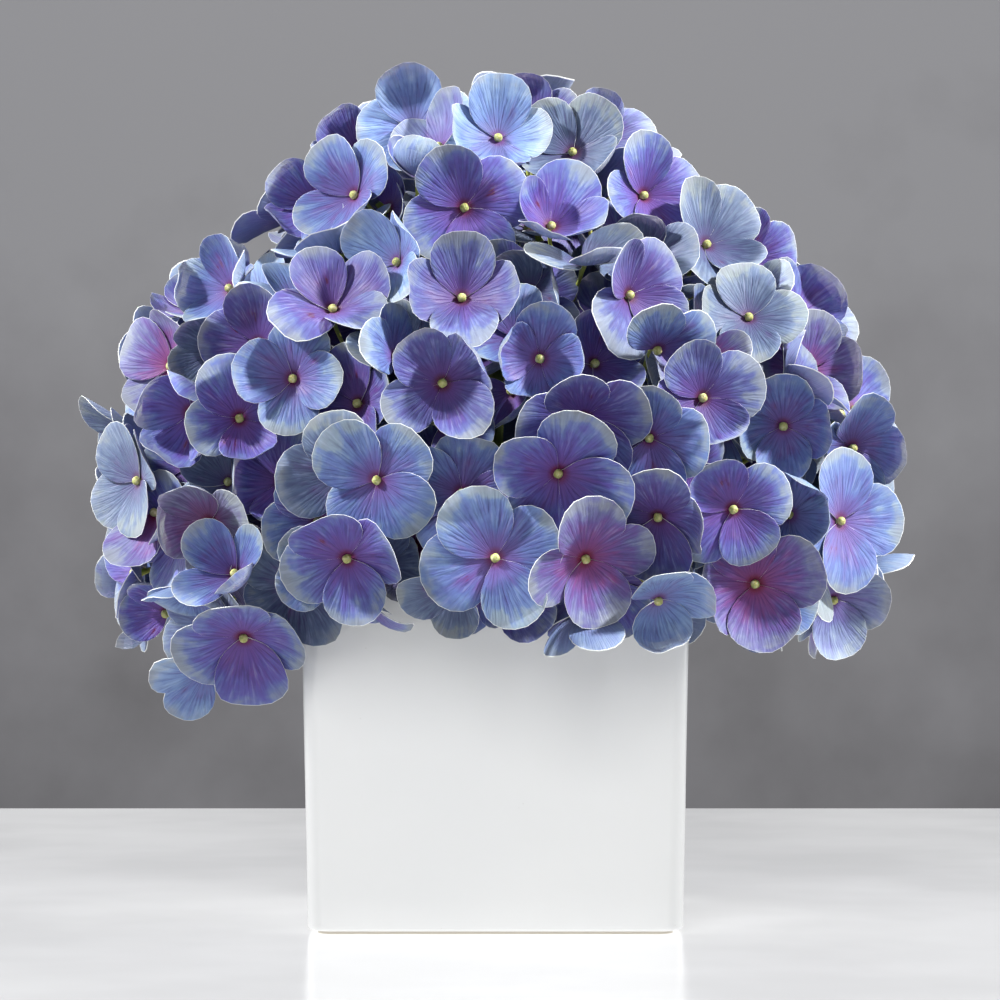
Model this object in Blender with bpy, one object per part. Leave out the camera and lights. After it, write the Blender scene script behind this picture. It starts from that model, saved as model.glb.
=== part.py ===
"""Cut hydrangeas in a square vase: vase, floral foam, seven stems and their floret clusters.

Run it with blender --background --python part.py, or from Blender's text editor.
Lengths are in metres and angles in degrees.
"""

import math
import random
from collections import namedtuple

import bpy
from mathutils import Vector
from mathutils.bvhtree import BVHTree

# Vase
VASE_WIDTH = 0.120          # outside, across the rim
VASE_BASE_WIDTH = 0.1154    # outside, just above the foot
VASE_HEIGHT = 0.122
VASE_WALL = 0.005
VASE_FLOOR = 0.008
VASE_CORNER = 0.005         # radius of the upright corners
VASE_EDGE = 0.0015          # fillet around the bottom
FOOT_INSET = 0.003
FOOT_HEIGHT = 0.001

# What stands in the vase
CLEARANCE = 0.0003          # gap between pieces that touch
FOAM_BELOW_RIM = 0.006
STEM_RADIUS = 0.0026
STEM_DEPTH = 0.070          # how far a stem goes into the foam
STEM_RING = 0.024           # where the outer stems enter the foam, from the middle
FOOT_RING_SHARE = 0.8       # how much closer together the stems' feet are
STEM_STRAIGHT = 0.6         # share of its rise over which a stem goes on straight
KNOB_PULL = 0.010           # how far before its knob a stem turns outwards
STEM_STEPS = 6
STEM_SIDES = 8
KNOB_RADIUS = 0.0056        # the swollen top of a stem
KNOB_TURNS = (-60, -25, 10, 45, 72)   # rings of the knob, as angles from its equator
VASE_SHARP = 35             # edges sharper than this are not shaded smooth
STEM_SHARP = 50

# Bouquet: floret centres lie on a dome, an ellipsoid around the dome centre with flatter shoulders
DOME_RADII = Vector((0.118, 0.108, 0.120))
DOME_ABOVE_RIM = 0.015
SHOULDER_DIP = 0.09         # how far the dome falls short half way up, as a share of its radius
KNOB_REACH = 0.42           # knobs and hubs lie on smaller copies of the dome
TOP_KNOB_REACH = 0.44
KNOB_TILT = 8
HUB_REACH = 0.68
HUB_LOWEST = -0.20          # height of the lowest hubs, as a share of the dome
CLUSTER_COUNT = 46

# Floret
PETAL_NOTCH = 0.40          # radii of the outline, as shares of half the span
PETAL_SIDE = 0.79
SIDE_TURN = 32              # angles of the outline's points from the petal's middle line
SHOULDER_TURN = 12
PETAL_THICKNESS = 0.0008
EYE_RADIUS = 0.0016
BUD_HEIGHT = 0.0028
PEDICEL_RADIUS = 0.0008
PEDICEL_NECK = 0.005        # straight stretch behind a floret
STALK_BEND = 72             # most that a stalk bends at its neck
STALK_OVERRUN = 0.00015     # each stalk ends this much further past the middle of its hub
RAY_RADIUS = 0.0013
RAY_SIDES = 6
HUB_RADIUS = 0.0026
HUB_SHAPE = ((-1.0, 0.75), (0.0, 1.0), (0.8, 0.5))   # place along the hub and radius, in hub radii

# Filling florets, layer by layer from the outside
# depth below the dome, places tried, least and greatest span
FILL_LAYERS = ((0.0, 260, 0.038, 0.044), (0.014, 120, 0.030, 0.038))
FILL_LOWEST = -0.34
FILL_SEED = 11
FILL_SINKS = 3              # how many of the steps below a filling floret may sink
FILL_CUP = (8, 32)
FILL_LEAN = 24
SINK_STEPS = (0.0, 0.004, 0.008, 0.012, 0.016, 0.020, 0.025, 0.030)
LEAN_STEPS = ((0, 0), (9, 0), (-9, 0), (0, 9), (0, -9), (16, 10), (-16, -10))
SLIDE_STEPS = ((0, 0), (0.004, 0), (-0.004, 0), (0, 0.004), (0, -0.004))
KEEP_CLEAR = 0.0012         # how much a floret is thickened while its place is tested
NEAR_SPANS = 1.2            # florets further apart than this share of both spans are not compared
ABOVE_RIM = 0.004           # no floret has its middle lower than this inside the vase

STEM_NAMES = ("front_right", "right", "back_right", "back_left", "left", "front_left")

# The florets in front, nearest first: azimuth and elevation of the place on the dome,
# azimuth and elevation of the way it faces, turn, span in mm, cup angle.
# Azimuth 0 is the front (-Y) and 90 is the right (+X).
FRONT_FLORETS = (
    (0, -10, 0, 0, 25, 42, 12),
    (-8, 15, 0, 5, 35, 42, 18),
    (7, 19, 0, 0, 78, 38, 18),
    (-22, -10, -10, -22, 20, 44, 18),
    (-8, 51, 0, -5, 25, 44, 15),
    (9, 2, 0, -22, 65, 45, 18),
    (-3, -1, -12, 0, 75, 40, 15),
    (25, 31, 38, 8, 45, 45, 28),
    (13, 10, 5, -28, 15, 42, 18),
    (-17, 1, 0, 0, 48, 41, 12),
    (23, 7, 8, 0, 0, 40, 15),
    (-12, -10, -28, -12, 55, 40, 20),
    (43, -14, 0, -8, 18, 45, 15),
    (49, -4, 0, 3, 62, 38, 22),
    (49, 9, -5, -12, 0, 38, 12),
    (50, 15, 50, 25, 30, 40, 42),
    (62, 18, 25, 10, 0, 42, 20),
    (-54, 11, -32, -12, 55, 45, 22),
    (-47, -5, -28, -15, 10, 40, 22),
    (-42, -11, -5, 32, 45, 40, 40),
    (-33, 16, -12, 5, 80, 38, 20),
    (-44, -22, 0, -28, 15, 45, 20),
    (-58, -28, 5, -48, 55, 40, 25),
    (60, -5, 25, -5, 0, 44, 12),
    (13, -10, 8, -32, 20, 42, 20),
    (22, -4, 12, -26, 0, 42, 20),
    (-25, 13, -22, 12, 10, 40, 25),
    (-30, 28, -18, 35, 35, 44, 30),
    (-20, 38, -30, 12, 50, 38, 28),
    (-63, 54, -30, 15, 45, 40, 25),
    (-44, 55, -35, 10, 35, 40, 30),
    (13, 46, 12, 38, 65, 42, 35),
    (47, 55, 30, 12, 10, 42, 30),
    (-66, 34, -42, 15, 0, 40, 28),
    (-69, 19, -42, 5, 60, 42, 22),
    (-6, 30, 0, 22, 5, 40, 25),
    (36, 27, 52, -10, 40, 40, 15),
    (66, 6, 28, -10, 0, 40, 15),
    (-46, 75, -8, 18, 5, 42, 20),
    (1, 70, 8, 22, 0, 40, 20),
    (32, 66, 5, 32, 45, 42, 18),
    (-37, 61, 0, -15, 45, 36, 22),
    (34, 39, 12, 38, 0, 40, 20),
    (75, 41, 32, -8, 20, 42, 20),
    (86, 50, 28, 32, 10, 38, 15),
    (86, 54, 30, 35, 55, 40, 20),
    (86, 28, 35, 30, 0, 40, 12),
    (50, 25, 8, 30, 0, 38, 15),
    (86, 35, 40, 30, 20, 40, 12),
    (86, 23, 55, 28, 10, 40, 12),
    (86, 12, 60, 10, 30, 40, 18),
    (86, 18, 72, 20, 10, 36, 15),
    (86, 7, 75, 0, 50, 40, 18),
    (86, -2, 75, -10, 20, 36, 15),
    (68, -15, 32, -28, 10, 42, 15),
    (-86, 30, -20, 68, 20, 38, 15),
    (-86, 36, -32, 30, 0, 36, 15),
    (-86, 30, -62, 20, 40, 38, 20),
    (-43, 22, -22, 5, 0, 38, 20),
    (-54, 21, -15, -12, 30, 36, 15),
    (-42, 10, 0, 0, 20, 38, 25),
    (-40, 1, -15, 10, 0, 42, 22),
    (-70, 1, -52, 0, 30, 40, 18),
    (-66, -7, -45, -10, 5, 42, 22),
    (-65, -11, -25, -30, 55, 42, 18),
    (-54, -15, -8, -62, 20, 36, 25),
    (-49, -15, 15, -58, 60, 36, 25),
    (-61, -24, -30, -30, 20, 42, 18),
    (-37, -15, -5, -30, 30, 38, 15),
    (-11, 1, -15, 0, 20, 38, 25),
    (16, 1, 28, -15, 30, 40, 20),
    (19, -15, 5, -42, 50, 42, 15),
    (25, -16, 25, -42, 20, 38, 15),
    (26, -2, 25, -10, 5, 40, 15),
    (-4, -15, -5, -42, 50, 40, 15),
    (-16, 22, 5, 42, 20, 38, 25),
    (-17, 12, -8, 0, 45, 38, 15),
    (-15, 27, 0, 22, 70, 34, 20),
    (-3, 24, 12, 42, 40, 40, 20),
    (6, 25, 0, 40, 0, 36, 15),
    (5, 33, 12, 30, 40, 42, 20),
    (18, 38, 5, 62, 20, 38, 20),
    (16, 21, 30, 22, 40, 38, 28),
    (27, 21, 22, -32, 20, 38, 15),
    (11, 55, -10, 40, 30, 38, 28),
    (-69, 68, -12, 20, 40, 38, 18),
    (31, 75, 0, 35, 20, 38, 15),
    (86, 73, 20, 40, 0, 36, 25),
    (-22, 2, -12, -8, 10, 42, 15),
    (-31, 1, -30, 0, 40, 38, 18),
    (-28, -5, 0, -15, 20, 38, 15),
    (33, 13, 15, 0, 20, 38, 20),
    (37, -5, 5, -10, 30, 38, 18),
)

Floret = namedtuple("Floret", "centre facing spin span cup")


# ---------------------------------------------------------------- directions on the dome

def dome_centre():
    return Vector((0, 0, VASE_HEIGHT + DOME_ABOVE_RIM))


def direction(azimuth, elevation):
    """A unit vector: azimuth from the front (-Y) towards the right (+X), elevation upwards."""
    turn, rise = math.radians(azimuth), math.radians(elevation)
    return Vector((math.cos(rise) * math.sin(turn), -math.cos(rise) * math.cos(turn), math.sin(rise)))


def dome_point(way, reach=1.0):
    """A point of the dome, or of a smaller copy of it. Above the middle the dome dips inwards."""
    dip = (2 * max(0.0, way.z) * math.sqrt(max(0.0, 1 - way.z ** 2))) ** 2
    fullness = 1 - SHOULDER_DIP * dip
    return dome_centre() + Vector(a * b for a, b in zip(way, DOME_RADII)) * reach * fullness


def spread_directions(count, lowest):
    """Evenly spread unit vectors from straight up down to the height `lowest`."""
    golden = math.pi * (3 - math.sqrt(5))
    ways = []
    for i in range(count):
        height = 1 - (i + 0.5) / count * (1 - lowest)
        ring = math.sqrt(max(0.0, 1 - height * height))
        ways.append(Vector((ring * math.cos(i * golden), ring * math.sin(i * golden), height)))
    return ways


def floret_axes(facing):
    """Right, up and outward unit vectors of a floret that looks along `facing`."""
    up = Vector((0, 0, 1)) if abs(facing.z) < 0.98 else Vector((0, 1, 0))
    right = up.cross(facing).normalized()
    return right, facing.cross(right), facing


# ---------------------------------------------------------------- plain shapes

def tube(points, radii, sides):
    """A closed tube through the points: rings square to the path, with flat ends."""
    verts, faces = [], []
    across = (points[1] - points[0]).orthogonal().normalized()
    for i, point in enumerate(points):
        along = (points[min(i + 1, len(points) - 1)] - points[max(i - 1, 0)]).normalized()
        across = (across - along * across.dot(along)).normalized()
        other = along.cross(across)
        for k in range(sides):
            angle = math.tau * k / sides
            verts.append(point + (across * math.cos(angle) + other * math.sin(angle)) * radii[i])
    for i in range(len(points) - 1):
        for k in range(sides):
            a, b = i * sides + k, i * sides + (k + 1) % sides
            faces.append((a, b, b + sides, a + sides))
    faces.append(tuple(reversed(range(sides))))
    faces.append(tuple(range(len(verts) - sides, len(verts))))
    return verts, faces


def bend(start, first_pull, last_pull, end, steps):
    """Points along a smooth curve that leaves start towards first_pull and arrives from last_pull."""
    points = []
    for i in range(steps + 1):
        t = i / steps
        s = 1 - t
        points.append(start * s ** 3 + first_pull * 3 * s * s * t + last_pull * 3 * s * t * t + end * t ** 3)
    return points


def rounded_square(half, corner, height, steps=4):
    """One loop of a square with rounded corners, counter-clockwise from above."""
    corner = min(corner, half)
    loop = []
    for quarter in range(4):
        middle = math.radians(45 + 90 * quarter)
        sign_x, sign_y = math.copysign(1, math.cos(middle)), math.copysign(1, math.sin(middle))
        for i in range(steps + 1):
            angle = math.radians(90 * quarter + 90 * i / steps)
            loop.append(Vector((sign_x * (half - corner) + corner * math.cos(angle),
                                sign_y * (half - corner) + corner * math.sin(angle), height)))
    return loop


def lofted(loops):
    """A closed solid through equal loops, with a flat face at each end."""
    size = len(loops[0])
    verts = [point for loop in loops for point in loop]
    faces = [tuple(reversed(range(size)))]
    for i in range(len(loops) - 1):
        for k in range(size):
            a, b = i * size + k, i * size + (k + 1) % size
            faces.append((a, b, b + size, a + size))
    faces.append(tuple(range(len(verts) - size, len(verts))))
    return verts, faces


# ---------------------------------------------------------------- objects

def material(name, colour, roughness):
    made = bpy.data.materials.new(name)
    made.use_nodes = True
    shader = made.node_tree.nodes["Principled BSDF"]
    shader.inputs["Base Color"].default_value = (*colour, 1)
    shader.inputs["Roughness"].default_value = roughness
    shader.inputs["Metallic"].default_value = 0
    made.diffuse_color = (*colour, 1)
    return made


def add_object(name, verts, faces, look):
    mesh = bpy.data.meshes.new(name)
    mesh.from_pydata([tuple(v) for v in verts], [], faces)
    mesh.validate()
    mesh.materials.append(look)
    made = bpy.data.objects.new(name, mesh)
    bpy.context.scene.collection.objects.link(made)
    return made


def shade_smooth(made, angle):
    for face in made.data.polygons:
        face.use_smooth = True
    made.data.set_sharp_from_angle(angle=math.radians(angle))


def joined(target, tools, operation):
    """Apply a Boolean of each tool to the target, one after the other, and remove the tools."""
    for tool in tools:
        tool.hide_render = True
        tool.display_type = "WIRE"
        step = target.modifiers.new(tool.name, "BOOLEAN")
        step.operation = operation
        step.solver = "EXACT"
        step.object = tool
    shape = bpy.data.meshes.new_from_object(target.evaluated_get(bpy.context.evaluated_depsgraph_get()))
    target.modifiers.clear()
    target.data = shape
    for tool in tools:
        bpy.data.objects.remove(tool)


# ---------------------------------------------------------------- vase and foam

def vase_half(height):
    """Half the outside width of the vase at a height, from its base to its rim."""
    share = height / VASE_HEIGHT
    return (VASE_BASE_WIDTH + (VASE_WIDTH - VASE_BASE_WIDTH) * share) / 2


def vase_loops():
    foot = vase_half(0) - FOOT_INSET
    loops = [rounded_square(foot, VASE_CORNER, 0), rounded_square(foot, VASE_CORNER, FOOT_HEIGHT)]
    for i in range(4):
        angle = math.radians(30 * i)
        height = FOOT_HEIGHT + VASE_EDGE * (1 - math.cos(angle))
        inset = VASE_EDGE * (1 - math.sin(angle))
        loops.append(rounded_square(vase_half(height) - inset, VASE_CORNER, height))
    bead = VASE_WALL / 2
    for i in range(5):
        angle = math.radians(45 * i)
        height = VASE_HEIGHT - bead + bead * math.sin(angle)
        inset = bead * (1 - math.cos(angle))
        corner = VASE_CORNER - inset / 2
        loops.append(rounded_square(vase_half(height) - inset, corner, height))
    inside = VASE_CORNER - VASE_WALL / 2
    loops.append(rounded_square(vase_half(VASE_FLOOR) - VASE_WALL, inside, VASE_FLOOR))
    return loops


def build_vase(look):
    vase = add_object("vase", *lofted(vase_loops()), look)
    shade_smooth(vase, VASE_SHARP)


def foam_top():
    return VASE_HEIGHT - FOAM_BELOW_RIM


def build_foam(look, stems):
    gap = VASE_WALL + CLEARANCE
    corner = VASE_CORNER - VASE_WALL / 2
    low, high = VASE_FLOOR + CLEARANCE, foam_top()
    loops = [rounded_square(vase_half(height) - gap, corner, height) for height in (low, high)]
    foam = add_object("floral_foam", *lofted(loops), look)
    drills = []
    for name, points in stems.items():
        bore = [points[0] - (points[1] - points[0]).normalized() * CLEARANCE] + points[1:]
        radii = [STEM_RADIUS + CLEARANCE] * len(bore)
        drills.append(add_object("bore_" + name, *tube(bore, radii, STEM_SIDES), look))
    joined(foam, drills, "DIFFERENCE")


# ---------------------------------------------------------------- stems

def knob_places():
    """The head of each stem: one at the top and six around."""
    places = {"top": dome_point(direction(0, 90), TOP_KNOB_REACH)}
    for i, name in enumerate(STEM_NAMES):
        places[name] = dome_point(direction(30 + 60 * i, KNOB_TILT), KNOB_REACH)
    return places


def stem_path(knob):
    """From the foot of the stem in the foam, straight up, then out to its knob."""
    outward = Vector((knob.x, knob.y, 0))
    ring = outward.normalized() * STEM_RING if outward.length > STEM_RING else Vector((0, 0, 0))
    foot = ring * FOOT_RING_SHARE + Vector((0, 0, foam_top() - STEM_DEPTH))
    mouth = ring + Vector((0, 0, foam_top()))
    rise = (mouth - foot).normalized() * (knob.z - mouth.z) * STEM_STRAIGHT
    towards = outward.normalized() if outward.length > STEM_RING else Vector((0, 0, 1))
    return [foot] + bend(mouth, mouth + rise, knob - towards * KNOB_PULL, knob, STEM_STEPS)


def build_stem(name, points, look):
    """A stem whose last stretch swells into the knob that holds the clusters."""
    swelling = (points[-1] - points[-2]).normalized()
    knob = points[-1]
    path, radii = list(points[:-1]), [STEM_RADIUS] * (len(points) - 1)
    for angle in KNOB_TURNS:
        turn = math.radians(angle)
        path.append(knob + swelling * KNOB_RADIUS * math.sin(turn))
        radii.append(KNOB_RADIUS * math.cos(turn))
    stem = add_object("stem_" + name, *tube(path, radii, STEM_SIDES), look)
    shade_smooth(stem, STEM_SHARP)


# ---------------------------------------------------------------- florets

def petal_spot(floret, reach, turn, lift=0.0):
    """A point on the cupped face of a floret: reach from its middle, turn around it."""
    right, up, out = floret_axes(floret.facing)
    angle = math.radians(floret.spin + turn)
    slope = math.radians(floret.cup)
    level = (right * math.cos(angle) + up * math.sin(angle)) * reach * math.cos(slope)
    return floret.centre + level + out * (reach * math.sin(slope) + lift)


def floret_shell(floret, thickness):
    """Four petals around a small bud, as vertices and faces, open at the eye underneath.

    The petals are thickest at the eye and thin out to their edge.
    """
    half = floret.span / 2
    verts, faces = [], []
    for k in range(4):
        turn = 90 * k
        verts.append(petal_spot(floret, half * PETAL_NOTCH, turn - 45))
        verts.append(petal_spot(floret, half * PETAL_SIDE, turn - SIDE_TURN))
        verts.append(petal_spot(floret, half, turn - SHOULDER_TURN))
        verts.append(petal_spot(floret, half, turn + SHOULDER_TURN))
        verts.append(petal_spot(floret, half * PETAL_SIDE, turn + SIDE_TURN))
    for side in (1, -1):
        eye = [len(verts) + k for k in range(4)]
        verts += [petal_spot(floret, EYE_RADIUS, 90 * k - 45, side * thickness / 2) for k in range(4)]
        for k in range(4):
            here, there = eye[k], eye[(k + 1) % 4]
            edge = [(5 * k + i) % 20 for i in range(6)]
            fans = [(here, edge[i], edge[i + 1]) for i in range(3)]
            fans += [(here, edge[3], there)]
            fans += [(there, edge[i], edge[i + 1]) for i in (3, 4)]
            faces += fans if side > 0 else [(a, c, b) for a, b, c in fans]
        if side > 0:
            verts.append(petal_spot(floret, 0, 0, BUD_HEIGHT))
            faces += [(eye[k], eye[(k + 1) % 4], len(verts) - 1) for k in range(4)]
    return verts, faces, eye


def neck_of(floret):
    """Where the straight stretch of stalk behind a floret ends."""
    return floret.centre - floret.facing * PEDICEL_NECK


def pedicel_rings(floret, hub, overrun):
    """The rings of the stalk below a floret: its neck, then its end just past its hub's middle."""
    right, up, out = floret_axes(floret.facing)
    neck = neck_of(floret)
    down = (hub - neck).normalized()
    rings = []
    for point, along in ((neck, (down - out).normalized()), (hub + down * overrun, down)):
        swing = (-out).rotation_difference(along)
        ring = []
        for k in range(4):
            angle = math.radians(floret.spin + 90 * k - 45)
            spoke = swing @ (right * math.cos(angle) + up * math.sin(angle))
            ring.append(point + spoke * PEDICEL_RADIUS)
        rings.append(ring)
    return rings


def floret_solid(floret, hub, overrun):
    """A floret with its stalk as one closed mesh."""
    verts, faces, eye = floret_shell(floret, PETAL_THICKNESS)
    last = eye
    for ring in pedicel_rings(floret, hub, overrun):
        new = [len(verts) + k for k in range(4)]
        verts += ring
        for k in range(4):
            n = (k + 1) % 4
            faces.append((last[n], last[k], new[k], new[n]))
        last = new
    faces.append((last[3], last[2], last[1], last[0]))
    return verts, faces


# ---------------------------------------------------------------- where the florets go

class Layout:
    """Places florets one at a time, each clear of everything that is already there."""

    def __init__(self, knobs):
        self.hubs = [self.hub_place(way) for way in spread_directions(CLUSTER_COUNT, HUB_LOWEST)]
        self.owners = [min(knobs, key=lambda name: (knobs[name] - hub).length) for hub in self.hubs]
        self.rays = [ray_path(knobs[owner], hub) for owner, hub in zip(self.owners, self.hubs)]
        self.members = [[] for _ in self.hubs]
        self.solids = [self.vase_guard()]
        self.solids += [tree_of(*ray_shape(path, KEEP_CLEAR / 2)) for path in self.rays]
        self.placed = []
        self.petals = []
        self.stalks = []

    @staticmethod
    def hub_place(way):
        """A hub on a smaller copy of the dome, lifted clear of the rim where it is above the vase."""
        hub = dome_point(way, HUB_REACH)
        room = HUB_RADIUS + KEEP_CLEAR
        if max(abs(hub.x), abs(hub.y)) < VASE_WIDTH / 2 + room:
            hub.z = max(hub.z, VASE_HEIGHT + room)
        return hub

    @staticmethod
    def vase_guard():
        half = VASE_WIDTH / 2 + CLEARANCE
        loops = [rounded_square(half, VASE_CORNER, height) for height in (0, VASE_HEIGHT + CLEARANCE)]
        return tree_of(*lofted(loops))

    def nearest_hub(self, point):
        return min(range(len(self.hubs)), key=lambda i: (self.hubs[i] - point).length)

    def is_clear(self, floret, cluster):
        """True where the stalk bends little and a thickened copy of the floret touches nothing."""
        if (self.hubs[cluster] - neck_of(floret)).angle(-floret.facing) > math.radians(STALK_BEND):
            return False
        wide = floret._replace(span=floret.span + KEEP_CLEAR)
        shell = tree_of(*floret_shell(wide, PETAL_THICKNESS + KEEP_CLEAR)[:2])
        stalk = self.stalk_tree(floret, cluster, KEEP_CLEAR / 2)
        for i, other in enumerate(self.petals):
            gap = (self.placed[i].centre - floret.centre).length
            if gap < (floret.span + self.placed[i].span) * NEAR_SPANS:
                if shell.overlap(other) or stalk.overlap(other):
                    return False
        for home, other in self.stalks:
            if shell.overlap(other) or (home != cluster and stalk.overlap(other)):
                return False
        for i, other in enumerate(self.solids):
            if shell.overlap(other) or (i != cluster + 1 and stalk.overlap(other)):
                return False
        return not self.inside_vase(floret)

    def inside_vase(self, floret):
        point = floret.centre
        half = VASE_WIDTH / 2
        return abs(point.x) < half and abs(point.y) < half and point.z < VASE_HEIGHT + ABOVE_RIM

    def stalk_tree(self, floret, cluster, extra=CLEARANCE):
        radii = [EYE_RADIUS + extra, PEDICEL_RADIUS + extra, PEDICEL_RADIUS + extra]
        return tree_of(*tube([floret.centre, neck_of(floret), self.hubs[cluster]], radii, 4))

    def try_place(self, floret, sinks=SINK_STEPS):
        """Sink and lean the floret until it is clear; keep the first place that works."""
        right, up, facing = floret_axes(floret.facing)
        inward = (dome_centre() - floret.centre).normalized()
        for sink in sinks:
            for across, upward in SLIDE_STEPS:
                centre = floret.centre + inward * sink + right * across + up * upward
                cluster = self.nearest_hub(centre)
                for side, rise in LEAN_STEPS:
                    lean = right * math.radians(side) + up * math.radians(rise)
                    tried = floret._replace(centre=centre, facing=(facing + lean).normalized())
                    if self.is_clear(tried, cluster):
                        self.keep(tried, cluster)
                        return True
        return False

    def keep(self, floret, cluster):
        self.placed.append(floret)
        self.members[cluster].append(floret)
        self.petals.append(tree_of(*floret_shell(floret, PETAL_THICKNESS)[:2]))
        self.stalks.append((cluster, self.stalk_tree(floret, cluster)))

    def place_front(self):
        for azimuth, elevation, yaw, pitch, spin, span, cup in FRONT_FLORETS:
            centre = dome_point(direction(azimuth, elevation))
            self.try_place(Floret(centre, direction(yaw, pitch), spin, span / 1000, cup))

    def place_fill(self):
        draw = random.Random(FILL_SEED)
        for depth, count, least, greatest in FILL_LAYERS:
            for way in spread_directions(count, FILL_LOWEST):
                outward = (dome_point(way) - dome_centre()).normalized()
                lean = Vector([math.radians(draw.uniform(-FILL_LEAN, FILL_LEAN)) for _ in range(3)])
                floret = Floret(dome_point(way) - outward * depth, (outward + lean).normalized(),
                                draw.uniform(0, 90), draw.uniform(least, greatest),
                                draw.uniform(*FILL_CUP))
                self.try_place(floret, SINK_STEPS[:FILL_SINKS])


def tree_of(verts, faces):
    return BVHTree.FromPolygons([tuple(v) for v in verts], faces)


def ray_path(knob, hub):
    """The stalk from a stem's knob to the hub where the florets of a cluster branch off."""
    way = (hub - knob).normalized()
    start = knob + way * (KNOB_RADIUS + CLEARANCE)
    return [start, (start + hub) / 2, hub]


def ray_shape(ray, extra=0.0):
    """A ray as a tube that swells into its hub; `extra` thickens it."""
    start, middle, hub = ray
    way = (hub - start).normalized()
    path = [start, middle] + [hub + way * HUB_RADIUS * place for place, _ in HUB_SHAPE]
    radii = [RAY_RADIUS, RAY_RADIUS] + [HUB_RADIUS * size for _, size in HUB_SHAPE]
    return tube(path, [radius + extra for radius in radii], RAY_SIDES)


# ---------------------------------------------------------------- clusters

def build_cluster(name, ray, florets, look):
    """One branch: a ray with a hub at its end, and florets on their stalks, in one solid."""
    cluster = add_object(name, *ray_shape(ray), look)
    tools = []
    for i, floret in enumerate(florets):
        solid = floret_solid(floret, ray[-1], STALK_OVERRUN * (i + 1))
        tools.append(add_object(f"{name}_floret_{i + 1}", *solid, look))
    joined(cluster, tools, "UNION")


def clear_scene():
    for old in list(bpy.data.objects):
        bpy.data.objects.remove(old)


def main():
    clear_scene()
    glaze = material("glaze", (0.86, 0.86, 0.85), 0.12)
    foam = material("foam", (0.16, 0.27, 0.12), 0.95)
    stalk = material("stalk", (0.42, 0.50, 0.18), 0.6)
    petal = material("petal", (0.28, 0.26, 0.60), 0.65)

    knobs = knob_places()
    stems = {name: stem_path(knob) for name, knob in knobs.items()}
    build_vase(glaze)
    build_foam(foam, stems)
    for name, points in stems.items():
        build_stem(name, points, stalk)

    layout = Layout(knobs)
    layout.place_front()
    layout.place_fill()
    tally = dict.fromkeys(knobs, 0)
    for owner, ray, florets in zip(layout.owners, layout.rays, layout.members):
        if florets:
            tally[owner] += 1
            build_cluster(f"cluster_{owner}_{tally[owner]}", ray, florets, petal)


main()
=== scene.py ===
"""Looks of the cut hydrangeas in a square vase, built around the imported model.

Every length is in metres and every angle in degrees, unless a name says otherwise. The places of
the florets are worked out again with the same values and steps as in the model, so that each
detailed branch lies where its plain solid is.
"""

import math
import random
from collections import namedtuple

import bpy
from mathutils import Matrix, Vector, noise
from mathutils.bvhtree import BVHTree


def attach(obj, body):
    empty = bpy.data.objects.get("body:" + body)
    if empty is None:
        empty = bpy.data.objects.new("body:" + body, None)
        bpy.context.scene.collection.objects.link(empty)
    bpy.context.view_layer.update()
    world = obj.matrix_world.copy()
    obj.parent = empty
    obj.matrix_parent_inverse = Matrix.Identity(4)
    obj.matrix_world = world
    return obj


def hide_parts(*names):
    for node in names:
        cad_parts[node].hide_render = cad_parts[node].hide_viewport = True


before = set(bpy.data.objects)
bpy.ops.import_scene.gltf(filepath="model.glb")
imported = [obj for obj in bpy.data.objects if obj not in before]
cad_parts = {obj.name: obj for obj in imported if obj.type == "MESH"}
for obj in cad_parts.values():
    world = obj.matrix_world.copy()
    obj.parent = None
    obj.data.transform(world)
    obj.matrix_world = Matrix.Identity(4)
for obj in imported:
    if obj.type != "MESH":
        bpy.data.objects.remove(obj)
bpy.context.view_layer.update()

# ---- values that the model and the looks share ----------------------------------------------

# Vase
VASE_WIDTH = 0.120          # outside, across the rim
VASE_BASE_WIDTH = 0.1154    # outside, just above the foot
VASE_HEIGHT = 0.122
VASE_WALL = 0.005
VASE_FLOOR = 0.008
VASE_CORNER = 0.005         # radius of the upright corners
VASE_EDGE = 0.0015          # fillet around the bottom
FOOT_INSET = 0.003
FOOT_HEIGHT = 0.001

# What stands in the vase
CLEARANCE = 0.0003          # gap between pieces that touch
FOAM_BELOW_RIM = 0.006
STEM_RADIUS = 0.0026
STEM_DEPTH = 0.070          # how far a stem goes into the foam
STEM_RING = 0.024           # where the outer stems enter the foam, from the middle
FOOT_RING_SHARE = 0.8       # how much closer together the stems' feet are
STEM_STRAIGHT = 0.6         # share of its rise over which a stem goes on straight
KNOB_PULL = 0.010           # how far before its knob a stem turns outwards
STEM_STEPS = 6
KNOB_RADIUS = 0.0056        # the swollen top of a stem

# Bouquet: floret centres lie on a dome, an ellipsoid around the dome centre with flatter shoulders
DOME_RADII = Vector((0.118, 0.108, 0.120))
DOME_ABOVE_RIM = 0.015
SHOULDER_DIP = 0.09         # how far the dome falls short half way up, as a share of its radius
KNOB_REACH = 0.42           # knobs and hubs lie on smaller copies of the dome
TOP_KNOB_REACH = 0.44
KNOB_TILT = 8
HUB_REACH = 0.68
HUB_LOWEST = -0.20          # height of the lowest hubs, as a share of the dome
CLUSTER_COUNT = 46

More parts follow.
